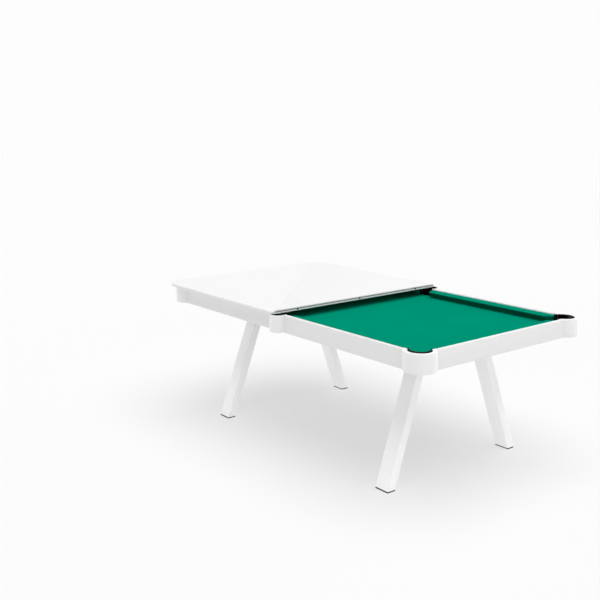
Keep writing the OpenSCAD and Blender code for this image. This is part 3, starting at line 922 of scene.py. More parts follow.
@dataclass(frozen=True)
class Plan:
    """Sizes that several pieces share, read from the frame's nodes.

    The rail's thickness rail_t ends where the cushions start. A corner pocket's axis lies
    pocket_in inwards from both rails, and a corner casing reaches casing_out past them. A flare
    is how far a pocket's facing runs along the rail for each metre inwards.
    """

    middle: float
    half_l: float
    half_w: float
    rail_z: float
    rail_top: float
    rail_t: float
    bed_z: float
    cushion_top: float
    pocket_in: float
    ring_r: float
    middle_ring_r: float
    middle_r: float
    casing_out: float
    casing_r: float = 0.083
    jaw_gap: float = 0.0015
    corner_flare: float = 1.1
    middle_flare: float = 0.48

    @property
    def casing_in(self) -> float:
        """Distance of a corner casing's centre inwards from both rail faces."""
        return self.casing_r - self.casing_out

    @property
    def pocket(self) -> Array:
        """Axis of the corner pocket at +X and +Y."""
        return np.array([self.half_l - self.pocket_in, self.half_w - self.pocket_in])

    @property
    def corner_back(self) -> float:
        """Distance from a rail's end to the back of the cushion's facing at a corner pocket."""
        chord = math.sqrt(self.ring_r**2 - (self.pocket_in - self.rail_t) ** 2)
        return self.pocket_in + self.jaw_gap + chord

    @property
    def middle_back(self) -> float:
        """Distance from the table's middle to the back of a facing at a middle pocket."""
        return self.jaw_gap + math.sqrt(self.middle_ring_r**2 - self.rail_t**2)

    @staticmethod
    def read() -> "Plan":
        """Works the sizes out from the boxes of the frame's nodes.

        Returns:
            The table's plan.
        """
        long_lo, long_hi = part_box("frame_long")
        side_lo, side_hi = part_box("rail_side")
        end_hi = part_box("rail_end")[1]
        middle_lo, middle_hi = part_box("middle_block")
        cushion_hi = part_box("cushion_cloth_side")[1]
        cup_lo, cup_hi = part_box("liner_pp")
        small_lo, small_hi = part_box("liner_mp")
        middle = (long_lo.x + long_hi.x) / 2
        return Plan(
            middle=middle,
            half_l=end_hi.x - middle,
            half_w=side_hi.y,
            rail_z=side_lo.z,
            rail_top=side_hi.z,
            rail_t=side_hi.y - cushion_hi.y,
            bed_z=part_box("bed_cloth")[1].z,
            cushion_top=cushion_hi.z,
            pocket_in=end_hi.x - (cup_lo.x + cup_hi.x) / 2,
            ring_r=(cup_hi.x - cup_lo.x) / 2,
            middle_ring_r=(small_hi.x - small_lo.x) / 2,
            middle_r=(middle_hi.x - middle_lo.x) / 2,
            casing_out=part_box("corner_block")[1].x - end_hi.x,
        )

    def beside(self, run: Any, inward: Any, side: bool) -> Array:
        """Places beside the side rail at +Y or the end rail at +X.

        Args:
            run: Distances along the rail.
            inward: Distances inwards, which broadcast with the runs.
            side: Whether it is the side rail.

        Returns:
            The places in plan, (..., 2).
        """
        if side:
            return pairs(run, self.half_w - inward)
        return pairs(self.half_l - inward, run)

    def turn(self, points: Array, signs: Signs) -> Array:
        """Moves points, of the plan or of the room, to another place round the table."""
        factors, shift = np.array([*signs, 1.0]), np.array([self.middle, 0.0, 0.0])
        return points * factors[: points.shape[-1]] + shift[: points.shape[-1]]


@dataclass
class SubAssembly:
    """What every sub-assembly needs to make and dress its pieces."""

    plan: Plan
    finishes: Finishes
    made: list[str] = field(default_factory=list)

    def keep(
        self, surface: Surface, slot: Slot, name: str, node: str, body: str = "table"
    ) -> bpy.types.Object:
        """Builds and dresses a piece, sets it on its body and hides the node it stands for.

        Args:
            surface: Its shape.
            slot: Its finish.
            name: Its name.
            node: The node that it replaces.
            body: The body that it rides on.

        Returns:
            The new piece.
        """
        piece = surface.build(name)
        self.finishes.dress(piece, slot)
        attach(piece, body)
        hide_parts(node)
        self.made.append(name)
        return piece

    def repeat(
        self,
        surface: Surface,
        places: dict[str, Signs],
        slot: Slot,
        name: str,
        node: str,
        body: str = "table",
    ) -> list[bpy.types.Object]:
        """Keeps a copy of a surface in each of its places, whose letters go in for every {}.

        Args:
            surface: The surface, drawn at +X and +Y.
            places: The places, by their letters.
            slot: Their finish.
            name: The copies' names.
            node: The nodes that they replace.
            body: The bodies that they ride on.

        Returns:
            The new pieces.
        """
        pieces = []
        for key, signs in places.items():
            copy = surface.turned(self.plan, signs)
            names = (text.format(key) for text in (name, node, body))
            pieces.append(self.keep(copy, slot, *names))
        return pieces


# Rails and casings ----------------------------------------------------------------------------


@dataclass
class Rails(SubAssembly):
    """The white boards round the table and the round casings between them.

    The seam is the gap between a board and a casing, sunk is how far a fillet reaches into its
    neighbours, and no wall of a casing gets thinner than thinnest.
    """

    edge: float = 0.0016
    inner_edge: float = 0.005
    casing_edge: float = 0.002
    seam: float = 0.0001
    thinnest: float = 0.00003
    fillet: float = 0.005
    sunk: float = 0.0005
    board_rings: int = 25
    arc_steps: int = 96
    edge_steps: int = 5
    fillet_steps: int = 9

    def section(self) -> Array:
        """A board's outline across its length, softest at its upper inner edge.

        Returns:
            Points of inward distance and height, (n, 2).
        """
        inner, low, high = self.plan.rail_t, self.plan.rail_z, self.plan.rail_top
        corners = [(0.0, low), (inner, low), (inner, high), (0.0, high)]
        return rounded(corners, [self.edge, self.edge, self.inner_edge, self.edge])

    def board(self, start: Array, stop: Array, side: bool) -> Surface:
        """A board whose two ends follow the casings' curves.

        Each point of the section runs evenly from its place at one end to that at the other.

        Args:
            start: Run of the one end at each point of the section.
            stop: Run of the other end.
            side: Whether it lies along a side.

        Returns:
            The closed surface.
        """
        section = self.section()
        share = np.linspace(0, 1, self.board_rings)[:, None]
        place = self.plan.beside(start + share * (stop - start), section[:, 0], side)
        surface = Surface()
        surface.tube(lift(place, section[:, 1]))
        return surface

    def corner_reach(self, half: float, inward: Array) -> Array:
        """Where a board ends on a corner casing's circle.

        Args:
            half: Half the table's length or width along the board.
            inward: Distances inwards.

        Returns:
            The runs.
        """
        p = self.plan
        across = p.casing_in - inward
        return half - p.casing_in - np.sqrt(p.casing_r**2 - across**2) - self.seam

    def boards(self) -> None:
        """Four side boards and two end boards."""
        p, inward = self.plan, self.section()[:, 0]
        past_middle = np.sqrt(p.middle_r**2 - inward**2) + self.seam
        side = self.board(past_middle, self.corner_reach(p.half_l, inward), side=True)
        reach = self.corner_reach(p.half_w, inward)
        end = self.board(-reach, reach, side=False)
        self.repeat(side, QUARTERS, Slot.WHITE_LACQUER, "side_board_{}", "rail_side")
        self.repeat(end, ENDS, Slot.WHITE_LACQUER, "end_board_{}", "rail_end")

    def casing(self, axis: Sequence[float], outer: float, inner: Array, turn: Array) -> Surface:
        """A round casing between an outer circle and an inner outline.

        At each angle its section is a rounded rectangle from the inner to the outer radius, and
        the rounding is never more than a third of the wall.

        Args:
            axis: Its axis, from the table's middle.
            outer: The outer radius.
            inner: The inner radius at each angle.
            turn: The angles.

        Returns:
            The closed surface.
        """
        low = pairs(np.minimum(inner, outer - self.thinnest), self.plan.rail_z)
        high = pairs(outer, np.full_like(inner, self.plan.rail_top))
        wall = np.maximum(outer - inner, self.thinnest / 3)
        edge = np.minimum(self.casing_edge, wall / 3)
        section = rounded_box(low, high, edge, self.edge_steps)
        surface = Surface()
        surface.tube(revolve(section[..., 0], section[..., 1], turn, axis))
        return surface

    def corner_casings(self) -> None:
        """Four corner casings.

        A ray from the casing's axis leaves the space behind the boards at the nearer of
        face / cos and face / sin of its angle, and leaves the pocket ring's circle at
        c.u + sqrt((c.u)^2 + r^2 - |c|^2). The inner outline is the further of the two. One
        section stands exactly where the board's inner face meets that circle, at either end.
        """
        p = self.plan
        face = p.casing_in - p.rail_t
        shift = p.casing_in - p.pocket_in
        limit = np.pi - math.asin(face / p.casing_r)
        meet = np.pi - math.atan2(face, math.sqrt(p.ring_r**2 - (face - shift) ** 2) - shift)
        even = np.linspace(QUARTER_TURN - limit, limit, self.arc_steps)
        turn = np.sort(np.append(even, [meet, QUARTER_TURN - meet]))
        ray = np.cos(turn), np.sin(turn)
        with np.errstate(divide="ignore"):
            by_x, by_y = (np.where(part > TINY, face / part, np.inf) for part in ray)
        ahead = shift * (ray[0] + ray[1])
        ring = ahead + np.sqrt(ahead**2 + p.ring_r**2 - 2 * shift**2)
        inner = np.maximum(np.minimum(by_x, by_y), ring)
        axis = (p.half_l - p.casing_in, p.half_w - p.casing_in)
        casing = self.casing(axis, p.casing_r, inner, turn)
        self.repeat(casing, QUARTERS, Slot.WHITE_CASTING, "corner_casing_{}", "corner_block")

    def fillets(self, surface: Surface) -> None:
        """Adds the hollows that run a middle casing's round face out on the boards beside it.

        A hollow's arc has radius f and its centre f off the board and r + f from the casing's
        axis, so it lies sqrt(r^2 + 2 r f) along the board from that axis.

        Args:
            surface: Where the two closed strips go.
        """
        p, f = self.plan, self.fillet
        along = math.sqrt(p.middle_r**2 + 2 * p.middle_r * f)
        turn = np.linspace(np.pi + math.atan2(f, along), 1.5 * np.pi, self.fillet_steps)
        arc = np.array([along, f]) + f * unit(turn)
        within = p.middle_r - self.sunk
        back = [(arc[-1, 0], -self.sunk), (within, -self.sunk), (within, arc[0, 1])]
        loop = np.concatenate([arc, back])
        heights = np.array([p.rail_z + self.casing_edge, p.rail_top - self.casing_edge])
        for side in (1, -1):
            plan = pairs(loop[:, 0] * side, p.half_w + loop[:, 1])
            surface.tube(lift(np.broadcast_to(plan, (2, *plan.shape)), heights[:, None]))

    def middle_casings(self) -> None:
        """Two half-round casings, from rail back to rail back round the middle pockets."""
        p = self.plan
        start = math.asin(p.rail_t / p.middle_r)
        turn = np.linspace(-start, np.pi + start, self.arc_steps)
        inner = np.full_like(turn, p.middle_ring_r)
        casing = self.casing((0.0, p.half_w), p.middle_r, inner, turn)
        self.fillets(casing)
        self.repeat(casing, SIDES, Slot.WHITE_CASTING, "middle_casing_{}", "middle_block")

    def make(self) -> None:
        """Makes all boards and casings."""
        self.boards()
        self.corner_casings()
        self.middle_casings()


# Bed and cushions -----------------------------------------------------------------------------


@dataclass
class Cushions(SubAssembly):
    """The cloth on the bed and over the cushions.

    A roll is the radius with which a cloth turns over an edge, tuck is what goes down into a
    pocket, and clear is the gap to the parts around. The cushions' sizes are those of their wood
    and rubber: how far they reach inwards, and the nose's height over the bed.
    """

    skin: float = 0.0007
    roll: float = 0.0012
    roll_steps: int = 5
    tuck: float = 0.014
    clear: float = 0.001
    cushion_reach: float = 0.056
    subrail_w: float = 0.034
    nose_h: float = 0.035
    nose_flat: float = 0.004
    nose_r: float = 0.0024
    foot_h: float = 0.0075
    foot_r: float = 0.004
    sharp: float = 0.0001
    profile_steps: int = 7
    facing_roll: float = 0.003
    corner_steps: int = 40
    notch_steps: int = 16
    bed_crease: float = 60.0
    cushion_crease: float = 35.0

    def bed_outline(self) -> tuple[Array, Array]:
        """Outline of the bed cloth and where it turns down into a pocket.

        A quarter runs up the end, round the corner pocket's arc, along the side and down the
        middle pocket's arc; the other three quarters mirror it.

        Returns:
            The outline, anticlockwise about the table's middle, and a flag for each point.
        """
        p = self.plan
        a, b = p.half_l - p.rail_t - self.clear, p.half_w - p.rail_t - self.clear
        r, small = p.ring_r + self.clear / 2, p.middle_ring_r + self.clear / 2
        reach = math.acos((a - p.pocket[0]) / r)
        corner = np.linspace(-reach, reach - 1.5 * np.pi, self.corner_steps)
        arc = p.pocket + r * unit(corner)
        drop = math.acos((p.half_w - b) / small)
        side = np.linspace(drop, 0.0, self.notch_steps)
        notch = pairs(small * np.sin(side), p.half_w - small * np.cos(side))
        quarter = np.concatenate([[[a, 0.0]], arc, notch])
        flag = np.arange(len(quarter)) > 0
        half = np.concatenate([quarter, (quarter * [-1, 1])[::-1][1:]])
        half_flag = np.concatenate([flag, flag[::-1][1:]])
        lower = (half * [1, -1])[::-1][1:-1]
        return np.concatenate([half, lower]), np.concatenate([half_flag, half_flag[::-1][1:-1]])

    def bed(self) -> None:
        """The bed cloth: flat, rolled over the slate's edge and tucked down at the pockets.

        Its rings leave the top and reach the outline as rolled() says, and the last one goes
        straight down.
        """
        p = self.plan
        loop, at_pocket = self.bed_outline()
        normal = outward(loop)
        fall, inset = rolled(self.roll, self.roll_steps)
        inset, fall = np.append(inset, 0.0), np.append(fall, self.tuck)
        rings = inside(loop, normal, inset)
        depth = np.where(at_pocket, fall[:, None], np.minimum(fall, self.roll)[:, None])
        points = p.turn(lift(rings, p.bed_z - depth), (1, 1))
        flat = rings + normal * depth[..., None]
        surface = Surface(closed=False, crease=self.bed_crease)
        surface.grid(points[::-1], flat=flat[::-1])
        surface.cap(points[0])
        piece = self.keep(surface, Slot.CLOTH, "bed_baize", "bed_cloth")
        self.thicken(piece)

    def thicken(self, piece: bpy.types.Object) -> None:
        """Gives a cloth surface its thickness, inwards.

        Args:
            piece: The open surface.
        """
        solid = piece.modifiers.new("cloth_thickness", "SOLIDIFY")
        solid.thickness = self.skin
        solid.offset = -1.0

    def profile(self) -> Array:
        """Section of a cushion's cloth: back, top, rounded nose and the face below it.

        Returns:
            Points of inward distance and height, from the back of the top to the foot, (n, 2).
        """
        p, steps = self.plan, self.profile_steps
        nose, nose_z = p.rail_t + self.cushion_reach, p.bed_z + self.nose_h
        foot = p.rail_t + self.subrail_w
        outline = [
            (p.rail_t, p.bed_z),
            (p.rail_t, p.cushion_top),
            (nose, nose_z),
            (nose, nose_z - self.nose_flat),
            (foot, p.bed_z + self.foot_h),
            (foot, p.bed_z),
        ]
        sharp, nose_r = self.sharp, self.nose_r
        loop = rounded(outline, [sharp, sharp, nose_r, nose_r, self.foot_r, sharp], steps)
        return loop[2 * steps - 1 : 1 - steps]

    def cushion(self, ends: tuple[Pair, Pair], side: bool) -> Surface:
        """Cloth over one cushion, closed over its two facings.

        Rows run from the foot of one facing over the cushion to the other. On a facing the
        section shrinks towards the corner of rail and bed; where it turns on to the length, it
        leaves the facing and reaches its own outline as rolled() says.

        Args:
            ends: For each end the run of the facing at the rail and at the nose.
            side: Whether the cushion lies along a side rail.

        Returns:
            The open surface, with its faces outwards.
        """
        p, steps = self.plan, self.roll_steps
        shape = self.profile()
        step = np.gradient(shape, axis=0)
        foot = np.array([p.rail_t, p.bed_z])
        normal = pairs(-step[:, 1], step[:, 0])
        normal /= np.linalg.norm(normal, axis=1, keepdims=True)
        normal *= np.sign((normal * (shape - foot)).sum(1))[:, None]
        back, inset = rolled(self.facing_roll, steps)
        inset = np.concatenate([np.full(steps, self.facing_roll), inset])
        back = np.concatenate([np.zeros(steps), back])
        shrink = np.minimum(np.arange(2 * steps) / steps, 1.0)
        ring = foot + (inside(shape, normal, inset) - foot) * shrink[:, None, None]
        lean = (ring[..., 0] - p.rail_t) / (self.cushion_reach + self.clear)
        runs = [
            start[0] + (start[1] - start[0]) * lean + np.sign(stop[0] - start[0]) * back[:, None]
            for start, stop in (ends, ends[::-1])
        ]
        run = np.concatenate([runs[0], runs[1][::-1]])
        section = np.concatenate([ring, ring[::-1]])
        way = np.append(0, np.cumsum(np.linalg.norm(np.diff(shape, axis=0), axis=1)))
        surface = Surface(closed=False, crease=self.cushion_crease)
        points = lift(p.beside(run, section[..., 0], side), section[..., 1])
        surface.grid(points, ring=False, flat=pairs(run, way))
        if side:
            surface.flip()
        return surface

    def cover(self, ends: tuple[Pair, Pair], side: bool) -> None:
        """Covers the cushions of both sides or both ends with cloth and thickens it.

        Its flat width is the way over the top, down the nose and back under it.

        Args:
            ends: The facings' places, as in cushion().
            side: Whether they lie along the sides.
        """
        kind, places = ("side", QUARTERS) if side else ("end", ENDS)
        length = ends[1][0] - ends[0][0]
        cloth, name, node = self.cushion(ends, side), kind + "_cushion_{}", f"cushion_cloth_{kind}"
        for piece in self.repeat(cloth, places, Slot.CLOTH, name, node):
            self.thicken(piece)

    def make(self) -> None:
        """Makes the bed's cloth and that of four side cushions and two end cushions."""
        self.bed()
        p = self.plan
        corner_back, middle_back = p.corner_back, p.middle_back
        corner_nose = corner_back + p.corner_flare * self.cushion_reach
        middle = (middle_back, middle_back + p.middle_flare * self.cushion_reach)
        self.cover((middle, (p.half_l - corner_back, p.half_l - corner_nose)), side=True)
        corner = (p.half_w - corner_back, p.half_w - corner_nose)
        self.cover(((-corner[0], -corner[1]), corner), side=False)


# Pockets --------------------------------------------------------------------------------------


@dataclass
class Pockets(SubAssembly):
    """The six black cups with their rims, and an ear on each facing beside them.

    A rim is given by its width and by how far its opening is moved towards the mouth.
    """

    wall: float = 0.003
    rim_h: float = 0.006
    drain_r: float = 0.008
    sill: float = 0.002
    lap: float = 0.0001
    lip_r: float = 0.0022
    cup_radii: tuple[float, ...] = (0.0005, 0.0025, 0.0004, 0.0008, 0.002, 0.0008)
    top_r: float = 0.0006
    inner_r: float = 0.0008
    steps: int = 96
    crease: float = 50.0
    corner_rim: Pair = (0.011, 0.020)
    middle_rim: Pair = (0.007, 0.0)
    ear_l: float = 0.012
    middle_ear_l: float = 0.02
    ear_t: float = 0.005
    ear_low: float = 0.0008
    ear_corner: float = 0.001
    ear_edge: float = 0.00075

    def liner(
        self, name: str, axis: Array, outer: float, mouth: float, towards: float, rim: Pair
    ) -> Surface:
        """A cup turned round its axis, open above the bed inside its mouth.

        The cup's closed section goes all the way round. Above the bed the wall and rim have a
        closed section of their own, which stops at the mouth's two edges. The rim's opening is a
        circle moved towards the mouth, so at angle a from the back its radius is
        sqrt(r^2 - (shift sin a)^2) - shift cos a.

        Args:
            name: The node that it stands for.
            axis: The cup's axis in the frame.
            outer: The cup's outer radius.
            mouth: Half the angle of the mouth.
            towards: Direction of the mouth's middle.
            rim: The rim's width and the shift of its opening.

        Returns:
            The closed surfaces of cup and rim.
        """
        p = self.plan
        inner, lip, shift = outer - self.wall, outer - rim[0], rim[1]
        base, sill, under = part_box(name)[0].z, p.bed_z - self.sill, p.rail_top - self.rim_h
        floor = base + self.wall
        cup = [(self.drain_r, base), (outer, base), (outer, sill), (inner, sill)]
        cup = rounded([*cup, (inner, floor), (self.drain_r, floor)], self.cup_radii)
        start = sill - self.lap
        crown = [(inner, start), (outer, start), (outer, p.rail_top), (lip, p.rail_top)]
        radii = [self.lap, self.lap, self.top_r, self.lip_r, self.lip_r, self.inner_r]
        crown = rounded([*crown, (lip, under), (inner, under)], radii)
        surface = Surface(crease=self.crease)
        all_round = np.linspace(0, FULL_TURN, self.steps, endpoint=False)
        surface.grid(revolve(cup[:, 0], cup[:, 1], all_round, axis), closed_rows=True)
        turn = np.linspace(towards + mouth, towards + FULL_TURN - mouth, self.steps)
        back = turn - towards - np.pi
        opening = np.sqrt(lip**2 - (shift * np.sin(back)) ** 2) - shift * np.cos(back)
        at_lip = crown[:, 0] < (lip + inner) / 2
        radius = crown[:, 0] + np.outer(opening - lip, at_lip)
        surface.tube(revolve(radius, crown[:, 1], turn, axis))
        return surface

    def ear(
        self, surface: Surface, signs: Signs, start: float, flare: float, length: float, side: bool
    ) -> None:
        """Adds a thin upright plate that lies on a cushion's facing.

        Its plan is a rounded rectangle from the rail to its tip, which lies flare * length
        along the rail and length inwards, and it is thickened at a right angle to that.

        Args:
            surface: Where the faces go.
            signs: The pocket's place round the table.
            start: The facing's run at the rail.
            flare: Run for each metre inwards, and less than 0 at a corner pocket.
            length: How far the ear reaches inwards.
            side: Whether it is on a side cushion.
        """
        p = self.plan
        foot = np.array([start, p.rail_t])
        tip = foot + length * np.array([flare, 1.0])
        across = -math.copysign(1.0, flare) * np.array([1.0, -flare])
        across *= self.ear_t / np.linalg.norm(across)
        corners = np.array([foot, tip, tip + across, foot + across])
        loop = rounded(p.beside(corners[:, 0], corners[:, 1], side), self.ear_corner, 5)
        top = p.rail_top - self.ear_low
        slab(surface, p.turn(loop, signs), p.bed_z, top, self.ear_edge)

    def corner_pockets(self) -> None:
        """Four corner cups, each with an ear on a side cushion and on an end cushion."""
        p = self.plan
        mouth = np.pi / 4 + math.asin((p.pocket_in - p.rail_t) / p.ring_r)
        for key, signs in QUARTERS.items():
            name, axis = f"liner_{key}", p.turn(p.pocket, signs)
            towards = math.atan2(-signs[1], -signs[0])
            surface = self.liner(name, axis, p.ring_r, mouth, towards, self.corner_rim)
            for half, side in ((p.half_l, True), (p.half_w, False)):
                start = half - p.corner_back
                self.ear(surface, signs, start, -p.corner_flare, self.ear_l, side)
            self.keep(surface, Slot.BLACK_PLASTIC, f"pocket_{name}", name)

    def middle_pockets(self) -> None:
        """Two middle cups, each with an ear on the side cushions to its left and right."""
        p = self.plan
        mouth = math.acos(p.rail_t / p.middle_ring_r)
        for key, (_, sy) in SIDES.items():
            name, axis = f"liner_m{key}", np.array([p.middle, sy * p.half_w])
            towards = -sy * QUARTER_TURN
            surface = self.liner(name, axis, p.middle_ring_r, mouth, towards, self.middle_rim)
            for sx in (1, -1):
                length, flare = self.middle_ear_l, p.middle_flare
                self.ear(surface, (sx, sy), p.middle_back, flare, length, side=True)
            self.keep(surface, Slot.BLACK_PLASTIC, f"pocket_{name}", name)

    def make(self) -> None:
        """Makes all cups."""
        self.corner_pockets()
        self.middle_pockets()


# Legs -----------------------------------------------------------------------------------------


@dataclass
class Legs(SubAssembly):
    """Four leaning tubes and the pads under them.

    The tube's end and the pad's top lie pad_more higher than in the frame. The pad's rings are
    given by height and inset, from the floor up and then down from its top.
    """

    wall: float = 0.003
    edge: float = 0.0045
    least_edge: float = 0.0008
    rim: float = 0.0008
    tube_rings: int = 24
    corner_steps: int = 6
    level: float = 0.0001
    pad_more: float = 0.001
    pad_foot: tuple[Pair, ...] = (
        (0.0, 0.004), (0.0, 0.0012), (0.0004, 0.0005), (0.0012, 0.0002)
    )
    pad_head: tuple[Pair, ...] = ((0.0006, 0.0002), (0.0, 0.0006), (0.0, 0.004))

    def __post_init__(self) -> None:
        """Reads the lean and the level section of a leg from the frame."""
        points, _ = node_mesh("leg_tube")
        points = points[(points[:, 0] > self.plan.middle) & (points[:, 1] > 0)]
        self.z0, self.z1 = float(points[:, 2].min()), float(points[:, 2].max())
        low, high = (points[np.abs(points[:, 2] - z) < self.level] for z in (self.z0, self.z1))
        lo, hi = low.min(0), low.max(0)
        self.x = float(lo[0] + hi[0]) / 2 - self.plan.middle
        self.half_x = float(hi[0] - lo[0]) / 2
        self.y = float(lo[1] + hi[1]) / 2
        self.half_y = float(hi[1] - lo[1]) / 2
        top_y = float(high[:, 1].min() + high[:, 1].max()) / 2
        self.slope = (self.y - top_y) / (self.z1 - self.z0)

    def rings(self, heights: Sequence[float], insets: Sequence[float]) -> Array:
        """Level sections of the leaning leg.

        A section is a rounded rectangle made smaller by its inset, and its middle stands
        slope * (z - foot) nearer the table's middle at height z.

        Args:
            heights: Height of each section.
            insets: How far each lies inside the tube's outer faces.

        Returns:
            The sections, (n, points, 3).
        """
        z, s = np.asarray(heights, float), np.asarray(insets, float)[:, None]
        middle = pairs(self.x, self.y - self.slope * (z - self.z0))
        half = np.array([self.half_x, self.half_y])
        edge = np.maximum(self.edge - s[:, 0], self.least_edge)
        plan = rounded_box(middle - half + s, middle + half - s, edge, self.corner_steps)
        return lift(plan, z[:, None])

    def make(self) -> None:
        """Makes the tubes and pads."""
        z0, z1, rim = self.z0 + self.pad_more, self.z1, self.rim
        between = np.linspace(z0 + rim, z1, self.tube_rings)
        outer = self.rings([z0, z0 + rim / 3, *between], [rim, rim / 3, *between * 0])
        inner = self.rings([z1, z0], [self.wall, self.wall])
        tube = Surface()
        tube.grid(np.concatenate([outer, inner]), closed_rows=True)
        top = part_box("foot_pad_pp")[1].z + self.pad_more
        foot, head = np.array(self.pad_foot), np.array(self.pad_head)
        heights = np.concatenate([foot[:, 0], top - head[:, 0]])
        pad = Surface()
        pad.tube(self.rings(heights, np.concatenate([foot[:, 1], head[:, 1]])))
        self.repeat(tube, QUARTERS, Slot.WHITE_STEEL, "leg_{}", "leg_tube")
        self.repeat(pad, QUARTERS, Slot.BLACK_PLASTIC, "pad_{}", "foot_pad_{}", "foot_{}")


# Half cover -----------------------------------------------------------------------------------


@dataclass
class HalfCover(SubAssembly):
    """The loose board over half of the table."""

    corner_r: float = 0.12
    joint_r: float = 0.026
    lap: float = 0.001
    sharp: float = 0.0002
    edge: float = 0.0018
    corner_steps: int = 32
    bush_wall: float = 0.0015
    bush_depth: float = 0.0039
    bush_floor: float = 0.0008
    bush_radii: tuple[float, ...] = (0.00001, 0.00001, 0.0003, 0.0005, 0.0002, 0.0001)
    bush_steps: int = 32

    def make(self) -> None:
        """Makes the board and what is let into its joint edge."""
        self.board()
        self.lipping()
        self.bushes()

    def board(self) -> None:
        """The board with four round corners, soft edges and a recess for the lipping."""
        lo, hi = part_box("cover_panel")
        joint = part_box("cover_edge")[1].x
        stop = hi.y - self.joint_r
        corners = [(joint, hi.y), (lo.x, hi.y), (lo.x, lo.y), (joint, lo.y)]
        corners += [(joint, -stop), (hi.x, -stop), (hi.x, stop), (joint, stop)]
        joint_r = self.joint_r - self.lap
        radii = [joint_r, self.corner_r, self.corner_r, joint_r] + [self.sharp] * 4
        surface = Surface()
        slab(surface, rounded(corners, radii, self.corner_steps), lo.z, hi.z, self.edge)
        self.keep(surface, Slot.WHITE_LACQUER, "cover_board", "cover_panel", "cover")

    def lipping(self) -> None:
        """The joint edge's strip, which ends where the board's round corners start.

        Its points are the node's, held between the two corners, and its bores stay as they are.
        """
        points, triangles = node_mesh("cover_edge")
        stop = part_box("cover_edge")[1].y - self.joint_r
        points[:, 1] = np.clip(points[:, 1], -stop, stop)
        surface = Surface()
        surface.facets(points, triangles)
        self.keep(surface, Slot.GREY_EDGE, "joint_lipping", "cover_edge", "cover")

    def bushes(self) -> None:
        """Three blind bushes in the joint edge, each turned from one section about its axis."""
        lo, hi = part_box("cover_bushes")
        outer, middle_z = (hi.z - lo.z) / 2, (lo.z + hi.z) / 2
        bore, depth = outer - self.bush_wall, self.bush_depth
        floor = depth - self.bush_floor
        corners = [(0.0, depth), (0.0, floor), (bore, floor), (bore, 0.0), (outer, 0.0)]
        section = rounded([*corners, (outer, depth)], self.bush_radii, 4)
        turn = np.linspace(0, FULL_TURN, self.bush_steps, endpoint=False)
        for number, y in enumerate((lo.y + outer, (lo.y + hi.y) / 2, hi.y - outer)):
            upright = revolve(section[:, 0], hi.x - section[:, 1], turn, (y, middle_z))
            surface = Surface()
            surface.grid(upright[..., [2, 0, 1]], closed_rows=True)
            name = f"dowel_bush_{number + 1}"
            self.keep(surface, Slot.BLACK_PLASTIC, name, "cover_bushes", "cover")


# Studio ---------------------------------------------------------------------------------------


@dataclass(frozen=True)
class Viewpoint:
    """Where the camera stands and how it looks."""

    position: Triple = (3.8360, -3.4980, 1.8459)
    azimuth: float = 51.3529
    pitch: float = 2.7148
    lens: float = 52.692
    sensor: float = 36.0
    shift_y: float = -0.23
    sight: float = 200.0

    def make(self) -> None:
        """Makes the scene's camera."""
        data = bpy.data.cameras.new("camera")
        data.lens, data.sensor_width, data.shift_y = self.lens, self.sensor, self.shift_y
        data.clip_end = self.sight
        camera = bpy.data.objects.new("camera", data)
        camera.location = self.position
        camera.rotation_euler = (math.radians(90 - self.pitch), 0.0, math.radians(self.azimuth))
        bpy.context.scene.collection.objects.link(camera)
        bpy.context.scene.camera = camera


@dataclass(frozen=True)
class Lamp:
    """A broad sun lamp; with no turns it shines straight down."""

    name: str
    strength: float
    angle: float
    turns: Triple
    mirrored: bool = True

    def make(self) -> None:
        """Makes the lamp."""
        data = bpy.data.lights.new(self.name, "SUN")
        data.energy, data.angle = self.strength, math.radians(self.angle)
        lamp = bpy.data.objects.new(self.name, data)
        lamp.rotation_euler = tuple(math.radians(turn) for turn in self.turns)
        lamp.visible_glossy = self.mirrored
        bpy.context.scene.collection.objects.link(lamp)


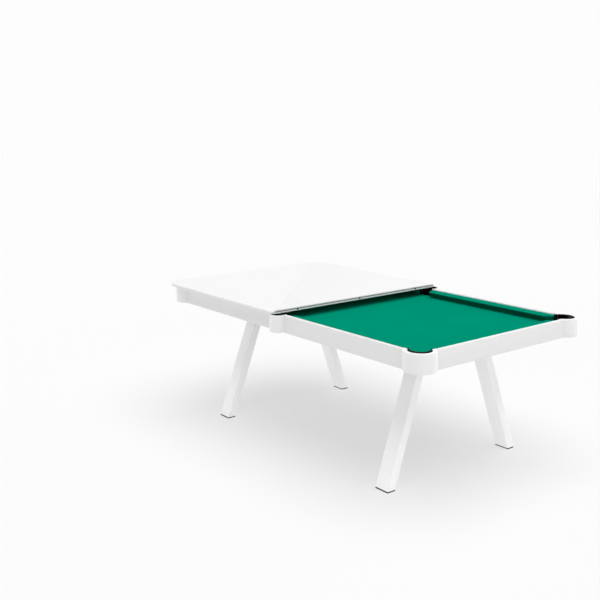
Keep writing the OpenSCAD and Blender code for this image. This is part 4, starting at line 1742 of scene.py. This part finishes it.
@dataclass(frozen=True)
class Studio:
    """White room: bright low walls, soft lamps above and behind, and a faintly glowing floor."""

    white: float = 0.982
    matt: float = 0.765
    sky: float = 0.15
    horizon: float = 1.4
    band: Pair = (0.25, 0.45)
    lamps: tuple[Lamp, ...] = (
        Lamp("overhead", 2.9, 70.0, (0.0, 12.0, 0.0), mirrored=False),
        Lamp("left", 0.3, 60.0, (72.0, 0.0, -73.65)),
        Lamp("right", 0.3, 60.0, (72.0, 0.0, 176.35)),
    )
    floor_half: float = 40.0
    floor_points: int = 9
    glow: float = 0.56

    def make_world(self) -> None:
        """Sky that is brightest low down, and plain white where it is seen or reflected."""
        world = bpy.data.worlds.new("studio")
        bpy.context.scene.world = world
        nodes = Nodes(world)
        path = nodes.add("ShaderNodeLightPath").outputs
        seen = Value(nodes, path["Is Camera Ray"]).largest(path["Is Glossy Ray"])
        seen = seen.largest(path["Is Transmission Ray"])
        rise = nodes.ramp(
            nodes.height(nodes.add("ShaderNodeTexCoord").outputs["Generated"]), *self.band
        )
        light = {"Color": EVEN, "Strength": self.horizon + (self.sky - self.horizon) * rise}
        backdrop = {"Color": (self.white,) * 3, "Strength": 1.0}
        shaders = [("ShaderNodeBackground", inputs) for inputs in (light, backdrop)]
        nodes.mix_into("ShaderNodeOutputWorld", seen, *shaders)

    def make_floor(self) -> None:
        """Wide pale floor, partly glowing, so that it is as bright as its colour all over."""
        side = np.linspace(-self.floor_half, self.floor_half, self.floor_points)
        floor = Surface(closed=False)
        floor.grid(lift(pairs(side[:, None], side), 0.0), ring=False)
        piece = floor.build("floor")
        material = bpy.data.materials.new("studio_floor")
        matt = "ShaderNodeBsdfDiffuse", {"Color": (self.matt,) * 3}
        glow = "ShaderNodeEmission", {"Color": (self.white,) * 3, "Strength": 1.0}
        Nodes(material).mix_into("ShaderNodeOutputMaterial", self.glow, matt, glow)
        piece.data.materials.append(material)

    def make(self) -> None:
        """Makes world, floor and lamps and sets plain colour handling."""
        bpy.context.scene.view_settings.view_transform = "Standard"
        self.make_world()
        self.make_floor()
        for lamp in self.lamps:
            lamp.make()


def main() -> None:
    """Builds the studio and every sub-assembly in order."""
    logging.basicConfig(level=logging.INFO, format="%(name)s: %(message)s")
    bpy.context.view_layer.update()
    Viewpoint().make()
    Studio().make()
    finishes = Finishes()
    finishes.dress_frame()
    plan = Plan.read()
    for assembly in (Rails, Cushions, Pockets, Legs, HalfCover):
        part = assembly(plan, finishes)
        part.make()
        LOG.info("%s: %s", assembly.__name__, ", ".join(part.made))


if __name__ == "__main__":
    main()
